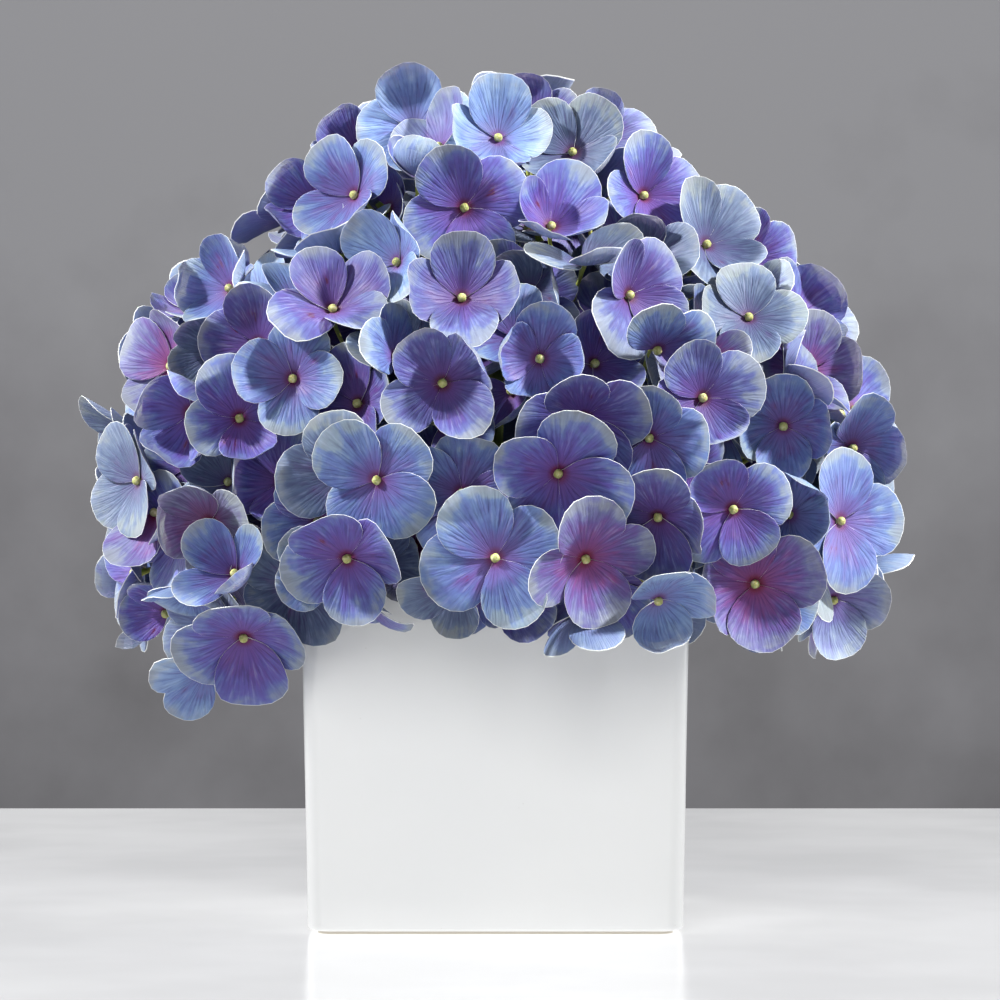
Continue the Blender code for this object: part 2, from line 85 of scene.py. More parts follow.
# Floret
PETAL_NOTCH = 0.40          # radii of the outline, as shares of half the span
PETAL_SIDE = 0.79
SIDE_TURN = 32              # angles of the outline's points from the petal's middle line
SHOULDER_TURN = 12
PETAL_THICKNESS = 0.0008
EYE_RADIUS = 0.0016
BUD_HEIGHT = 0.0028
PEDICEL_RADIUS = 0.0008
PEDICEL_NECK = 0.005        # straight stretch behind a floret
STALK_BEND = 72             # most that a stalk bends at its neck
RAY_RADIUS = 0.0013
RAY_SIDES = 6
HUB_RADIUS = 0.0026
HUB_SHAPE = ((-1.0, 0.75), (0.0, 1.0), (0.8, 0.5))   # place along the hub and radius, in hub radii

# Filling florets, layer by layer from the outside
# depth below the dome, places tried, least and greatest span
FILL_LAYERS = ((0.0, 260, 0.038, 0.044), (0.014, 120, 0.030, 0.038))
FILL_LOWEST = -0.34
FILL_SEED = 11
FILL_SINKS = 3              # how many of the steps below a filling floret may sink
FILL_CUP = (8, 32)
FILL_LEAN = 24
SINK_STEPS = (0.0, 0.004, 0.008, 0.012, 0.016, 0.020, 0.025, 0.030)
LEAN_STEPS = ((0, 0), (9, 0), (-9, 0), (0, 9), (0, -9), (16, 10), (-16, -10))
SLIDE_STEPS = ((0, 0), (0.004, 0), (-0.004, 0), (0, 0.004), (0, -0.004))
KEEP_CLEAR = 0.0012         # how much a floret is thickened while its place is tested
NEAR_SPANS = 1.2            # florets further apart than this share of both spans are not compared
ABOVE_RIM = 0.004           # no floret has its middle lower than this inside the vase

STEM_NAMES = ("front_right", "right", "back_right", "back_left", "left", "front_left")

# The florets in front, nearest first: azimuth and elevation of the place on the dome,
# azimuth and elevation of the way it faces, turn, span in mm, cup angle, tone.
# Azimuth 0 is the front (-Y) and 90 is the right (+X). The first two were worked out by another
# script from places read off the photograph. The rest were judged one by one.
FRONT_FLORETS = (
    (0, -10, 0, 0, 25, 42, 12, "blue"),
    (-8, 15, 0, 5, 35, 42, 18, "purple"),
    (7, 19, 0, 0, 78, 38, 18, "blue"),
    (-22, -10, -10, -22, 20, 44, 18, "violet"),
    (-8, 51, 0, -5, 25, 44, 15, "violet"),
    (9, 2, 0, -22, 65, 45, 18, "violet"),
    (-3, -1, -12, 0, 75, 40, 15, "blue"),
    (25, 31, 38, 8, 45, 45, 28, "purple"),
    (13, 10, 5, -28, 15, 42, 18, "purple"),
    (-17, 1, 0, 0, 48, 41, 12, "blue"),
    (23, 7, 8, 0, 0, 40, 15, "blue"),
    (-12, -10, -28, -12, 55, 40, 20, "pink"),
    (43, -14, 0, -8, 18, 45, 15, "magenta"),
    (49, -4, 0, 3, 62, 38, 22, "pale"),
    (49, 9, -5, -12, 0, 38, 12, "blue"),
    (50, 15, 50, 25, 30, 40, 42, "purple"),
    (62, 18, 25, 10, 0, 42, 20, "magenta"),
    (-54, 11, -32, -12, 55, 45, 22, "violet"),
    (-47, -5, -28, -15, 10, 40, 22, "pink"),
    (-42, -11, -5, 32, 45, 40, 40, "blue"),
    (-33, 16, -12, 5, 80, 38, 20, "blue"),
    (-44, -22, 0, -28, 15, 45, 20, "violet"),
    (-58, -28, 5, -48, 55, 40, 25, "pale"),
    (60, -5, 25, -5, 0, 44, 12, "blue"),
    (13, -10, 8, -32, 20, 42, 20, "magenta"),
    (22, -4, 12, -26, 0, 42, 20, "purple"),
    (-25, 13, -22, 12, 10, 40, 25, "purple"),
    (-30, 28, -18, 35, 35, 44, 30, "purple"),
    (-20, 38, -30, 12, 50, 38, 28, "pale"),
    (-63, 54, -30, 15, 45, 40, 25, "violet"),
    (-44, 55, -35, 10, 35, 40, 30, "blue"),
    (13, 46, 12, 38, 65, 42, 35, "violet"),
    (47, 55, 30, 12, 10, 42, 30, "violet"),
    (-66, 34, -42, 15, 0, 40, 28, "blue"),
    (-69, 19, -42, 5, 60, 42, 22, "magenta"),
    (-6, 30, 0, 22, 5, 40, 25, "purple"),
    (36, 27, 52, -10, 40, 40, 15, "pale"),
    (66, 6, 28, -10, 0, 40, 15, "blue"),
    (-46, 75, -8, 18, 5, 42, 20, "pale"),
    (1, 70, 8, 22, 0, 40, 20, "pale"),
    (32, 66, 5, 32, 45, 42, 18, "grey"),
    (-37, 61, 0, -15, 45, 36, 22, "purple"),
    (34, 39, 12, 38, 0, 40, 20, "grey"),
    (75, 41, 32, -8, 20, 42, 20, "violet"),
    (86, 50, 28, 32, 10, 38, 15, "pale"),
    (86, 54, 30, 35, 55, 40, 20, "purple"),
    (86, 28, 35, 30, 0, 40, 12, "lilac"),
    (50, 25, 8, 30, 0, 38, 15, "grey"),
    (86, 35, 40, 30, 20, 40, 12, "purple"),
    (86, 23, 55, 28, 10, 40, 12, "lilac"),
    (86, 12, 60, 10, 30, 40, 18, "violet"),
    (86, 18, 72, 20, 10, 36, 15, "lilac"),
    (86, 7, 75, 0, 50, 40, 18, "lilac"),
    (86, -2, 75, -10, 20, 36, 15, "blue"),
    (68, -15, 32, -28, 10, 42, 15, "lilac"),
    (-86, 30, -20, 68, 20, 38, 15, "violet"),
    (-86, 36, -32, 30, 0, 36, 15, "pale"),
    (-86, 30, -62, 20, 40, 38, 20, "lilac"),
    (-43, 22, -22, 5, 0, 38, 20, "purple"),
    (-54, 21, -15, -12, 30, 36, 15, "grey"),
    (-42, 10, 0, 0, 20, 38, 25, "violet"),
    (-40, 1, -15, 10, 0, 42, 22, "violet"),
    (-70, 1, -52, 0, 30, 40, 18, "grey"),
    (-66, -7, -45, -10, 5, 42, 22, "violet"),
    (-65, -11, -25, -30, 55, 42, 18, "purple"),
    (-54, -15, -8, -62, 20, 36, 25, "pale"),
    (-49, -15, 15, -58, 60, 36, 25, "pale"),
    (-61, -24, -30, -30, 20, 42, 18, "lilac"),
    (-37, -15, -5, -30, 30, 38, 15, "grey"),
    (-11, 1, -15, 0, 20, 38, 25, "purple"),
    (16, 1, 28, -15, 30, 40, 20, "blue"),
    (19, -15, 5, -42, 50, 42, 15, "violet"),
    (25, -16, 25, -42, 20, 38, 15, "pale"),
    (26, -2, 25, -10, 5, 40, 15, "pink"),
    (-4, -15, -5, -42, 50, 40, 15, "blue"),
    (-16, 22, 5, 42, 20, 38, 25, "grey"),
    (-17, 12, -8, 0, 45, 38, 15, "violet"),
    (-15, 27, 0, 22, 70, 34, 20, "pink"),
    (-3, 24, 12, 42, 40, 40, 20, "purple"),
    (6, 25, 0, 40, 0, 36, 15, "blue"),
    (5, 33, 12, 30, 40, 42, 20, "purple"),
    (18, 38, 5, 62, 20, 38, 20, "grey"),
    (16, 21, 30, 22, 40, 38, 28, "purple"),
    (27, 21, 22, -32, 20, 38, 15, "blue"),
    (11, 55, -10, 40, 30, 38, 28, "grey"),
    (-69, 68, -12, 20, 40, 38, 18, "purple"),
    (31, 75, 0, 35, 20, 38, 15, "purple"),
    (86, 73, 20, 40, 0, 36, 25, "lilac"),
    (-22, 2, -12, -8, 10, 42, 15, "grey"),
    (-31, 1, -30, 0, 40, 38, 18, "pale"),
    (-28, -5, 0, -15, 20, 38, 15, "blue"),
    (33, 13, 15, 0, 20, 38, 20, "purple"),
    (37, -5, 5, -10, 30, 38, 18, "violet"),
)

# ---- values of the looks alone --------------------------------------------------------------

PETALS = 4
PETAL_RAYS = 18             # segments across a petal
PETAL_RINGS = (0.0, 0.13, 0.27, 0.42, 0.57, 0.72, 0.87, 0.986, 1.0)
PETAL_START = 0.0010        # where the petals begin, from the middle of the floret
PETAL_HALF = 0.00017        # half the thickness of a petal, at its middle and at its edge
PETAL_EDGE_HALF = 0.00011
PAIR_LIFT = 0.00032         # one pair of petals lies this far above the middle, the other below
OUTLINE_REACH = 0.97        # how far round its outline a petal goes before it meets its claw
OUTLINE_POWER = 2.35        # powers that shape the outline of a petal
OUTLINE_ROUND = 0.56
# Half angle of a petal and how strongly it curls: the first that touches nothing is used.
PETAL_TRIES = ((66, 1.0), (66, 1.0), (65, 0.8), (64, 0.8), (63, 0.6), (62, 0.45), (60, 0.3),
               (58, 0.15), (54, 0.0), (50, 0.0))
LENGTH_RANGE = (0.88, 1.05)   # length of a petal, as a share of half the span
OWN_TURN = 8                # most that a petal turns away from its place in the cross
BEND_RANGE = (-22, 60)      # slope gained along a petal, the same for a floret's four petals
OWN_BEND_RANGE = (-14, 26)  # and what each petal adds to it
TIP_RANGE = (-50, 70)       # slope gained over the outer half
SIDE_RANGE = (8, 34)        # slope gained towards the sides
RUFFLE_RANGE = (1, 8)       # slope of the waves near the edge
TIP_DENT = 0.02             # most that a tip is notched or drawn out, as a share of its reach
# Florets that only the looks have, in the gaps: depth below the dome, places tried, least petals
# and the most that they lean, in degrees.
TUCK_LAYERS = ((-0.004, 130, 2, 75), (0.003, 170, 2, 60), (0.010, 190, 2, 45), (0.020, 150, 2, 45))
TUCK_SINKS = (0.0, 0.005, 0.010)   # how much further such a floret may sink to find room
TUCK_SPAN = (0.032, 0.042)
TUCK_SEED = 23
DEEP_FROM = 0.008           # layers deeper than this take darker tones, as painted shade
BUD_RADIUS = 0.0014
BUD_SIDES = 16
PEDICEL_SIDES = 7
PEDICEL_STEPS = 9
FINE_RAY_SIDES = 10
FINE_RAY_STEPS = 7
FINE_STEM_SIDES = 20
FINE_STEM_STEPS = 16
STEM_FOOT_STEPS = 5         # rings of a stem below the mouth of its bore
FINE_KNOB_TURNS = (-62, -40, -18, 4, 26, 48, 70, 84)   # rings of the knob, from its equator
STEM_RIBS = 5

PETAL_MARKS = ("along", "across", "rim", "under", "mood")
TONE_SEED = 5
# Darker tones for the florets deep in the gaps: painted shade, for the shade between the florets.
PAINTED_SHADE_TONES = ("purple", "purple", "violet", "grey", "blue")
FILL_TONES = ("blue", "blue", "blue", "purple", "purple", "violet", "violet", "violet", "lilac",
              "lilac", "grey", "grey", "magenta", "pale")

Floret = namedtuple("Floret", "centre facing spin span cup tone")
PetalForm = namedtuple("PetalForm", "length turn half_angle bend tip side ruffle phase lift mood")


# ---- small tools ----------------------------------------------------------------------------

def linear(code):
    """A colour written as a hex code of a screen colour, as linear red, green and blue."""
    channels = [int(code[i:i + 2], 16) / 255 for i in (0, 2, 4)]
    return tuple(c / 12.92 if c <= 0.04045 else ((c + 0.055) / 1.055) ** 2.4 for c in channels)


def blend_value(low, high, share):
    return low + (high - low) * share


class Shape:
    """Points and faces of one mesh, with named marks on its points."""

    def __init__(self, marks=()):
        self.points, self.faces, self.slots = [], [], []
        self.marks = {name: [] for name in marks}

    def add(self, points, faces, slot=0, **marks):
        first = len(self.points)
        self.points += points
        self.faces += [tuple(first + i for i in face) for face in faces]
        self.slots += [slot] * len(faces)
        for name, values in self.marks.items():
            given = marks.get(name, 0.0)
            values += given if isinstance(given, list) else [given] * len(points)

    def to_object(self, name, looks, sharp=None):
        mesh = bpy.data.meshes.new(name)
        mesh.from_pydata([tuple(p) for p in self.points], [], self.faces)
        for look in looks:
            mesh.materials.append(look)
        mesh.polygons.foreach_set("material_index", self.slots)
        mesh.polygons.foreach_set("use_smooth", [True] * len(self.faces))
        for mark, values in self.marks.items():
            mesh.attributes.new(mark, "FLOAT", "POINT").data.foreach_set("value", values)
        if sharp:
            mesh.set_sharp_from_angle(angle=math.radians(sharp))
        mesh.update()
        made = bpy.data.objects.new(name, mesh)
        bpy.context.scene.collection.objects.link(made)
        return made


def place_piece(piece, node):
    """The piece stands for a node of the model: it hangs from the root body and the node is hidden."""
    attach(piece, "root")
    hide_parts(node)


# ---- directions on the dome ----------------------------------------------------------------

def dome_centre():
    return Vector((0, 0, VASE_HEIGHT + DOME_ABOVE_RIM))


def direction(azimuth, elevation):
    """A unit vector: azimuth from the front (-Y) towards the right (+X), elevation upwards."""
    turn, rise = math.radians(azimuth), math.radians(elevation)
    return Vector((math.cos(rise) * math.sin(turn), -math.cos(rise) * math.cos(turn), math.sin(rise)))


def dome_point(way, reach=1.0):
    """A point of the dome, or of a smaller copy of it. Above the middle the dome dips inwards."""
    dip = (2 * max(0.0, way.z) * math.sqrt(max(0.0, 1 - way.z ** 2))) ** 2
    fullness = 1 - SHOULDER_DIP * dip
    return dome_centre() + Vector(a * b for a, b in zip(way, DOME_RADII)) * reach * fullness


def spread_directions(count, lowest):
    """Evenly spread unit vectors from straight up down to the height `lowest`."""
    golden = math.pi * (3 - math.sqrt(5))
    ways = []
    for i in range(count):
        height = 1 - (i + 0.5) / count * (1 - lowest)
        ring = math.sqrt(max(0.0, 1 - height * height))
        ways.append(Vector((ring * math.cos(i * golden), ring * math.sin(i * golden), height)))
    return ways


def floret_axes(facing):
    """Right, up and outward unit vectors of a floret that looks along `facing`."""
    up = Vector((0, 0, 1)) if abs(facing.z) < 0.98 else Vector((0, 1, 0))
    right = up.cross(facing).normalized()
    return right, facing.cross(right), facing


# ---- plain shapes ---------------------------------------------------------------------------

def tube(points, radii, sides):
    """A closed tube through the points: rings square to the path, with flat ends."""
    verts, faces = [], []
    across = (points[1] - points[0]).orthogonal().normalized()
    for i, point in enumerate(points):
        along = (points[min(i + 1, len(points) - 1)] - points[max(i - 1, 0)]).normalized()
        across = (across - along * across.dot(along)).normalized()
        other = along.cross(across)
        for k in range(sides):
            angle = math.tau * k / sides
            verts.append(point + (across * math.cos(angle) + other * math.sin(angle)) * radii[i])
    for i in range(len(points) - 1):
        for k in range(sides):
            a, b = i * sides + k, i * sides + (k + 1) % sides
            faces.append((a, b, b + sides, a + sides))
    faces.append(tuple(reversed(range(sides))))
    faces.append(tuple(range(len(verts) - sides, len(verts))))
    return verts, faces


def bend(start, first_pull, last_pull, end, steps):
    """Points along a smooth curve that leaves start towards first_pull and arrives from last_pull."""
    points = []
    for i in range(steps + 1):
        t = i / steps
        s = 1 - t
        leaving = start * s ** 3 + first_pull * 3 * s * s * t
        points.append(leaving + last_pull * 3 * s * t * t + end * t ** 3)
    return points


def rounded_square(half, corner, height, steps=4):
    """One loop of a square with rounded corners, counter-clockwise from above."""
    corner = min(corner, half)
    loop = []
    for quarter in range(4):
        middle = math.radians(45 + 90 * quarter)
        sign_x, sign_y = math.copysign(1, math.cos(middle)), math.copysign(1, math.sin(middle))
        for i in range(steps + 1):
            angle = math.radians(90 * quarter + 90 * i / steps)
            loop.append(Vector((sign_x * (half - corner) + corner * math.cos(angle),
                                sign_y * (half - corner) + corner * math.sin(angle), height)))
    return loop


def lofted(loops):
    """A closed solid through equal loops, with a flat face at each end."""
    size = len(loops[0])
    verts = [point for loop in loops for point in loop]
    faces = [tuple(reversed(range(size)))]
    for i in range(len(loops) - 1):
        for k in range(size):
            a, b = i * size + k, i * size + (k + 1) % size
            faces.append((a, b, b + size, a + size))
    faces.append(tuple(range(len(verts) - size, len(verts))))
    return verts, faces


# ---- vase and stems: where they run, as in the model ----------------------------------------

def vase_half(height):
    """Half the outside width of the vase at a height, from its base to its rim."""
    share = height / VASE_HEIGHT
    return (VASE_BASE_WIDTH + (VASE_WIDTH - VASE_BASE_WIDTH) * share) / 2


def foam_top():
    return VASE_HEIGHT - FOAM_BELOW_RIM


def knob_places():
    """The head of each stem: one at the top and six around."""
    places = {"top": dome_point(direction(0, 90), TOP_KNOB_REACH)}
    for i, name in enumerate(STEM_NAMES):
        places[name] = dome_point(direction(30 + 60 * i, KNOB_TILT), KNOB_REACH)
    return places


def stem_path(knob):
    """From the foot of the stem in the foam, straight up, then out to its knob."""
    outward = Vector((knob.x, knob.y, 0))
    ring = outward.normalized() * STEM_RING if outward.length > STEM_RING else Vector((0, 0, 0))
    foot = ring * FOOT_RING_SHARE + Vector((0, 0, foam_top() - STEM_DEPTH))
    mouth = ring + Vector((0, 0, foam_top()))
    rise = (mouth - foot).normalized() * (knob.z - mouth.z) * STEM_STRAIGHT
    towards = outward.normalized() if outward.length > STEM_RING else Vector((0, 0, 1))
    return [foot] + bend(mouth, mouth + rise, knob - towards * KNOB_PULL, knob, STEM_STEPS)


# ---- florets: their plain shape and where they go, as in the model --------------------------

def petal_spot(floret, reach, turn, lift=0.0):
    """A point on the cupped face of a floret: reach from its middle, turn around it."""
    right, up, out = floret_axes(floret.facing)
    angle = math.radians(floret.spin + turn)
    slope = math.radians(floret.cup)
    level = (right * math.cos(angle) + up * math.sin(angle)) * reach * math.cos(slope)
    return floret.centre + level + out * (reach * math.sin(slope) + lift)


def floret_shell(floret, thickness):
    """Four petals around a small bud, as vertices and faces, open at the eye underneath.

    The petals are thickest at the eye and thin out to their edge.
    """
    half = floret.span / 2
    verts, faces = [], []
    for k in range(4):
        turn = 90 * k
        verts.append(petal_spot(floret, half * PETAL_NOTCH, turn - 45))
        verts.append(petal_spot(floret, half * PETAL_SIDE, turn - SIDE_TURN))
        verts.append(petal_spot(floret, half, turn - SHOULDER_TURN))
        verts.append(petal_spot(floret, half, turn + SHOULDER_TURN))
        verts.append(petal_spot(floret, half * PETAL_SIDE, turn + SIDE_TURN))
    for side in (1, -1):
        eye = [len(verts) + k for k in range(4)]
        verts += [petal_spot(floret, EYE_RADIUS, 90 * k - 45, side * thickness / 2) for k in range(4)]
        for k in range(4):
            here, there = eye[k], eye[(k + 1) % 4]
            edge = [(5 * k + i) % 20 for i in range(6)]
            fans = [(here, edge[i], edge[i + 1]) for i in range(3)]
            fans += [(here, edge[3], there)]
            fans += [(there, edge[i], edge[i + 1]) for i in (3, 4)]
            faces += fans if side > 0 else [(a, c, b) for a, b, c in fans]
        if side > 0:
            verts.append(petal_spot(floret, 0, 0, BUD_HEIGHT))
            faces += [(eye[k], eye[(k + 1) % 4], len(verts) - 1) for k in range(4)]
    return verts, faces, eye


def neck_of(floret):
    """Where the straight stretch of stalk behind a floret ends."""
    return floret.centre - floret.facing * PEDICEL_NECK


class Layout:
    """Places florets one at a time, each clear of everything that is already there."""

    def __init__(self, knobs):
        self.hubs = [self.hub_place(way) for way in spread_directions(CLUSTER_COUNT, HUB_LOWEST)]
        self.owners = [min(knobs, key=lambda name: (knobs[name] - hub).length) for hub in self.hubs]
        self.rays = [ray_path(knobs[owner], hub) for owner, hub in zip(self.owners, self.hubs)]
        self.members = [[] for _ in self.hubs]
        self.solids = [self.vase_guard()]
        self.solids += [tree_of(*ray_shape(path, KEEP_CLEAR / 2)) for path in self.rays]
        self.placed = []
        self.petals = []
        self.stalks = []
        self.left_out = []

    @staticmethod
    def hub_place(way):
        """A hub on a smaller copy of the dome, lifted clear of the rim where it is above the vase."""
        hub = dome_point(way, HUB_REACH)
        room = HUB_RADIUS + KEEP_CLEAR
        if max(abs(hub.x), abs(hub.y)) < VASE_WIDTH / 2 + room:
            hub.z = max(hub.z, VASE_HEIGHT + room)
        return hub

    @staticmethod
    def vase_guard():
        half = VASE_WIDTH / 2 + CLEARANCE
        loops = [rounded_square(half, VASE_CORNER, height) for height in (0, VASE_HEIGHT + CLEARANCE)]
        return tree_of(*lofted(loops))

    def nearest_hub(self, point):
        return min(range(len(self.hubs)), key=lambda i: (self.hubs[i] - point).length)

    def is_clear(self, floret, cluster):
        """True where the stalk bends little and a thickened copy of the floret touches nothing."""
        if (self.hubs[cluster] - neck_of(floret)).angle(-floret.facing) > math.radians(STALK_BEND):
            return False
        wide = floret._replace(span=floret.span + KEEP_CLEAR)
        shell = tree_of(*floret_shell(wide, PETAL_THICKNESS + KEEP_CLEAR)[:2])
        stalk = self.stalk_tree(floret, cluster, KEEP_CLEAR / 2)
        for i, other in enumerate(self.petals):
            gap = (self.placed[i].centre - floret.centre).length
            if gap < (floret.span + self.placed[i].span) * NEAR_SPANS:
                if shell.overlap(other) or stalk.overlap(other):
                    return False
        for home, other in self.stalks:
            if shell.overlap(other) or (home != cluster and stalk.overlap(other)):
                return False
        for i, other in enumerate(self.solids):
            if shell.overlap(other) or (i != cluster + 1 and stalk.overlap(other)):
                return False
        return not self.inside_vase(floret)

    def inside_vase(self, floret):
        point = floret.centre
        half = VASE_WIDTH / 2
        return abs(point.x) < half and abs(point.y) < half and point.z < VASE_HEIGHT + ABOVE_RIM

    def stalk_tree(self, floret, cluster, extra=CLEARANCE):
        radii = [EYE_RADIUS + extra, PEDICEL_RADIUS + extra, PEDICEL_RADIUS + extra]
        return tree_of(*tube([floret.centre, neck_of(floret), self.hubs[cluster]], radii, 4))

    def try_place(self, floret, sinks=SINK_STEPS):
        """Sink and lean the floret until it is clear; keep the first place that works."""
        right, up, facing = floret_axes(floret.facing)
        inward = (dome_centre() - floret.centre).normalized()
        for sink in sinks:
            for across, upward in SLIDE_STEPS:
                centre = floret.centre + inward * sink + right * across + up * upward
                cluster = self.nearest_hub(centre)
                for side, rise in LEAN_STEPS:
                    lean = right * math.radians(side) + up * math.radians(rise)
                    tried = floret._replace(centre=centre, facing=(facing + lean).normalized())
                    if self.is_clear(tried, cluster):
                        self.keep(tried, cluster)
                        return True
        return False

    def keep(self, floret, cluster):
        self.placed.append(floret)
        self.members[cluster].append(floret)
        self.petals.append(tree_of(*floret_shell(floret, PETAL_THICKNESS)[:2]))
        self.stalks.append((cluster, self.stalk_tree(floret, cluster)))

    def place_front(self):
        for azimuth, elevation, yaw, pitch, spin, span, cup, tone in FRONT_FLORETS:
            centre = dome_point(direction(azimuth, elevation))
            facing = direction(yaw, pitch)
            floret = Floret(centre, facing, spin, span / 1000, cup, tone)
            if not self.try_place(floret):
                self.left_out.append(floret)

    def place_fill(self):
        draw = random.Random(FILL_SEED)
        tones = random.Random(TONE_SEED)
        for depth, count, least, greatest in FILL_LAYERS:
            for way in spread_directions(count, FILL_LOWEST):
                outward = (dome_point(way) - dome_centre()).normalized()
                lean = Vector([math.radians(draw.uniform(-FILL_LEAN, FILL_LEAN)) for _ in range(3)])
                floret = Floret(dome_point(way) - outward * depth, (outward + lean).normalized(),
                                draw.uniform(0, 90), draw.uniform(least, greatest),
                                draw.uniform(*FILL_CUP), tones.choice(FILL_TONES))
                self.try_place(floret, SINK_STEPS[:FILL_SINKS])


def tree_of(verts, faces):
    return BVHTree.FromPolygons([tuple(v) for v in verts], faces)


def ray_path(knob, hub):
    """The stalk from a stem's knob to the hub where the florets of a cluster branch off."""
    way = (hub - knob).normalized()
    start = knob + way * (KNOB_RADIUS + CLEARANCE)
    return [start, (start + hub) / 2, hub]


def ray_shape(ray, extra=0.0):
    """A ray as a tube that swells into its hub; `extra` thickens it."""
    start, middle, hub = ray
    way = (hub - start).normalized()
    path = [start, middle] + [hub + way * HUB_RADIUS * place for place, _ in HUB_SHAPE]
    radii = [RAY_RADIUS, RAY_RADIUS] + [HUB_RADIUS * size for _, size in HUB_SHAPE]
    return tube(path, [radius + extra for radius in radii], RAY_SIDES)




# ---- petals ---------------------------------------------------------------------------------

def petal_form(floret, number, half_angle, wildness, k, attempt=0):
    """The shape of one petal. Petals of the upper pair curl up at their sides, the others down."""
    upper = k % 2 == 1
    own = random.Random(number * 64 + attempt * 8 + k)
    shared = random.Random(number * 8 + 7)
    bend = (shared.uniform(*BEND_RANGE) + own.uniform(*OWN_BEND_RANGE)) * wildness
    return PetalForm(
        length=floret.span / 2 * own.uniform(*LENGTH_RANGE),
        turn=own.uniform(-OWN_TURN, OWN_TURN) * wildness,
        half_angle=half_angle,
        bend=bend,
        tip=own.uniform(*TIP_RANGE) * wildness,
        side=own.uniform(*SIDE_RANGE) * (1 if upper else -1) * wildness,
        ruffle=own.uniform(*RUFFLE_RANGE) * wildness,
        phase=own.uniform(0, math.tau),
        lift=PAIR_LIFT if upper else -PAIR_LIFT,
        mood=own.random(),
    )


def petal_slope(form, cup, s, share):
    """Slope of a petal in degrees: s runs from claw to tip, share from its left side to its right."""
    middle = 1 - share * share
    slope = cup + form.bend * (s - 0.35)
    slope += form.tip * max(0.0, s - 0.5) / 0.5 * middle
    slope += form.side * (share * s) ** 2 * 2
    slope += form.ruffle * math.sin(share * 8 + form.phase) * s ** 3 * (0.35 + 0.65 * middle)
    return math.radians(slope)


def petal_grid(floret, k, form):
    """Middle surface of a petal: rays from its claw to its edge, as points and their marks."""
    right, up, out = floret_axes(floret.facing)
    rows = []
    for i in range(PETAL_RAYS + 1):
        share = math.sin(math.pi / 2 * (2 * i / PETAL_RAYS - 1)) * OUTLINE_REACH
        reach = form.length * (1 - abs(share) ** OUTLINE_POWER) ** OUTLINE_ROUND
        dent = 1 - TIP_DENT * math.exp(-(share / 0.16) ** 2) * math.sin(form.phase)
        angle = math.radians(floret.spin + 90 * k + form.turn + form.half_angle * share)
        way = right * math.cos(angle) + up * math.sin(angle)
        level, height, last, row = PETAL_START, form.lift, 0.0, []
        for ring in PETAL_RINGS:
            travel = ring * reach * dent
            s = travel / form.length
            slope = petal_slope(form, floret.cup, s, share)
            level += (travel - last) * math.cos(slope)
            height += (travel - last) * math.sin(slope)
            last = travel
            row.append((floret.centre + way * level + out * height, s, share))
        rows.append(row)
    return rows


def petal_tree(rows):
    """A collision tree of a petal's middle surface, without its claw."""
    points, faces = [], []
    width = len(PETAL_RINGS) - 1
    for row in rows:
        points += [tuple(point) for point, _, _ in row[1:]]
    for i in range(PETAL_RAYS):
        for j in range(width - 1):
            a = i * width + j
            faces.append((a, a + 1, a + width + 1, a + width))
    return BVHTree.FromPolygons(points, faces)


def add_petal(shape, floret, rows, mood):
    """A petal as a thin closed sheet whose edge is thinner than its middle."""
    out = floret.facing
    width = len(PETAL_RINGS)
    last_ray = PETAL_RAYS
    points, along, across, rim, under = [], [], [], [], []
    for side in (1, -1):
        for i, row in enumerate(rows):
            for j, (point, s, share) in enumerate(row):
                on_edge = j == width - 1 or i in (0, last_ray)
                half = PETAL_EDGE_HALF if on_edge else PETAL_HALF
                points.append(point + out * half * side)
                along.append(s)
                across.append(share)
                rim.append(1.0 if on_edge else 0.0)
                under.append(0.0 if side > 0 else 1.0)
    size = len(points) // 2
    faces = []
    for i in range(last_ray):
        for j in range(width - 1):
            a, b = i * width + j, (i + 1) * width + j
            faces.append((a, a + 1, b + 1, b))
            faces.append((size + a, size + b, size + b + 1, size + a + 1))
    loop = list(range(width))
    loop += [i * width + width - 1 for i in range(1, last_ray)]
    loop += [last_ray * width + j for j in reversed(range(width))]
    loop += [i * width for i in range(last_ray - 1, 0, -1)]
    for a, b in zip(loop, loop[1:] + loop[:1]):
        faces.append((b, a, size + a, size + b))
    shape.add(points, faces, 0, along=along, across=across, rim=rim, under=under, mood=mood)


def add_bud(shape, floret, slot):
    """The small closed flower in the middle: a ball with four lobes and a cross on top."""
    right, up, out = floret_axes(floret.facing)
    levels = (-55, -25, 5, 35, 58, 76)
    points, faces = [], []
    for rise in levels:
        for i in range(BUD_SIDES):
            angle = math.tau * i / BUD_SIDES
            lobe = 1 + 0.05 * math.cos(4 * angle + math.pi)
            radius = BUD_RADIUS * math.cos(math.radians(rise)) * lobe
            turn = angle + math.radians(floret.spin)
            level = (right * math.cos(turn) + up * math.sin(turn)) * radius
            dip = 0.00022 * (1 - math.cos(4 * angle)) / 2 * max(0, rise) / 90
            height = BUD_HEIGHT * 0.5 * (0.85 + math.sin(math.radians(rise))) - dip
            points.append(floret.centre + level + out * height)
    points.append(floret.centre + out * (BUD_HEIGHT * 0.5 * 1.78))
    for row in range(len(levels) - 1):
        for i in range(BUD_SIDES):
            n = (i + 1) % BUD_SIDES
            a, b = row * BUD_SIDES, (row + 1) * BUD_SIDES
            faces.append((a + i, a + n, b + n, b + i))
    top = (len(levels) - 1) * BUD_SIDES
    faces += [(top + i, top + (i + 1) % BUD_SIDES, len(points) - 1) for i in range(BUD_SIDES)]
    faces.append(tuple(reversed(range(BUD_SIDES))))
    shape.add(points, faces, slot)


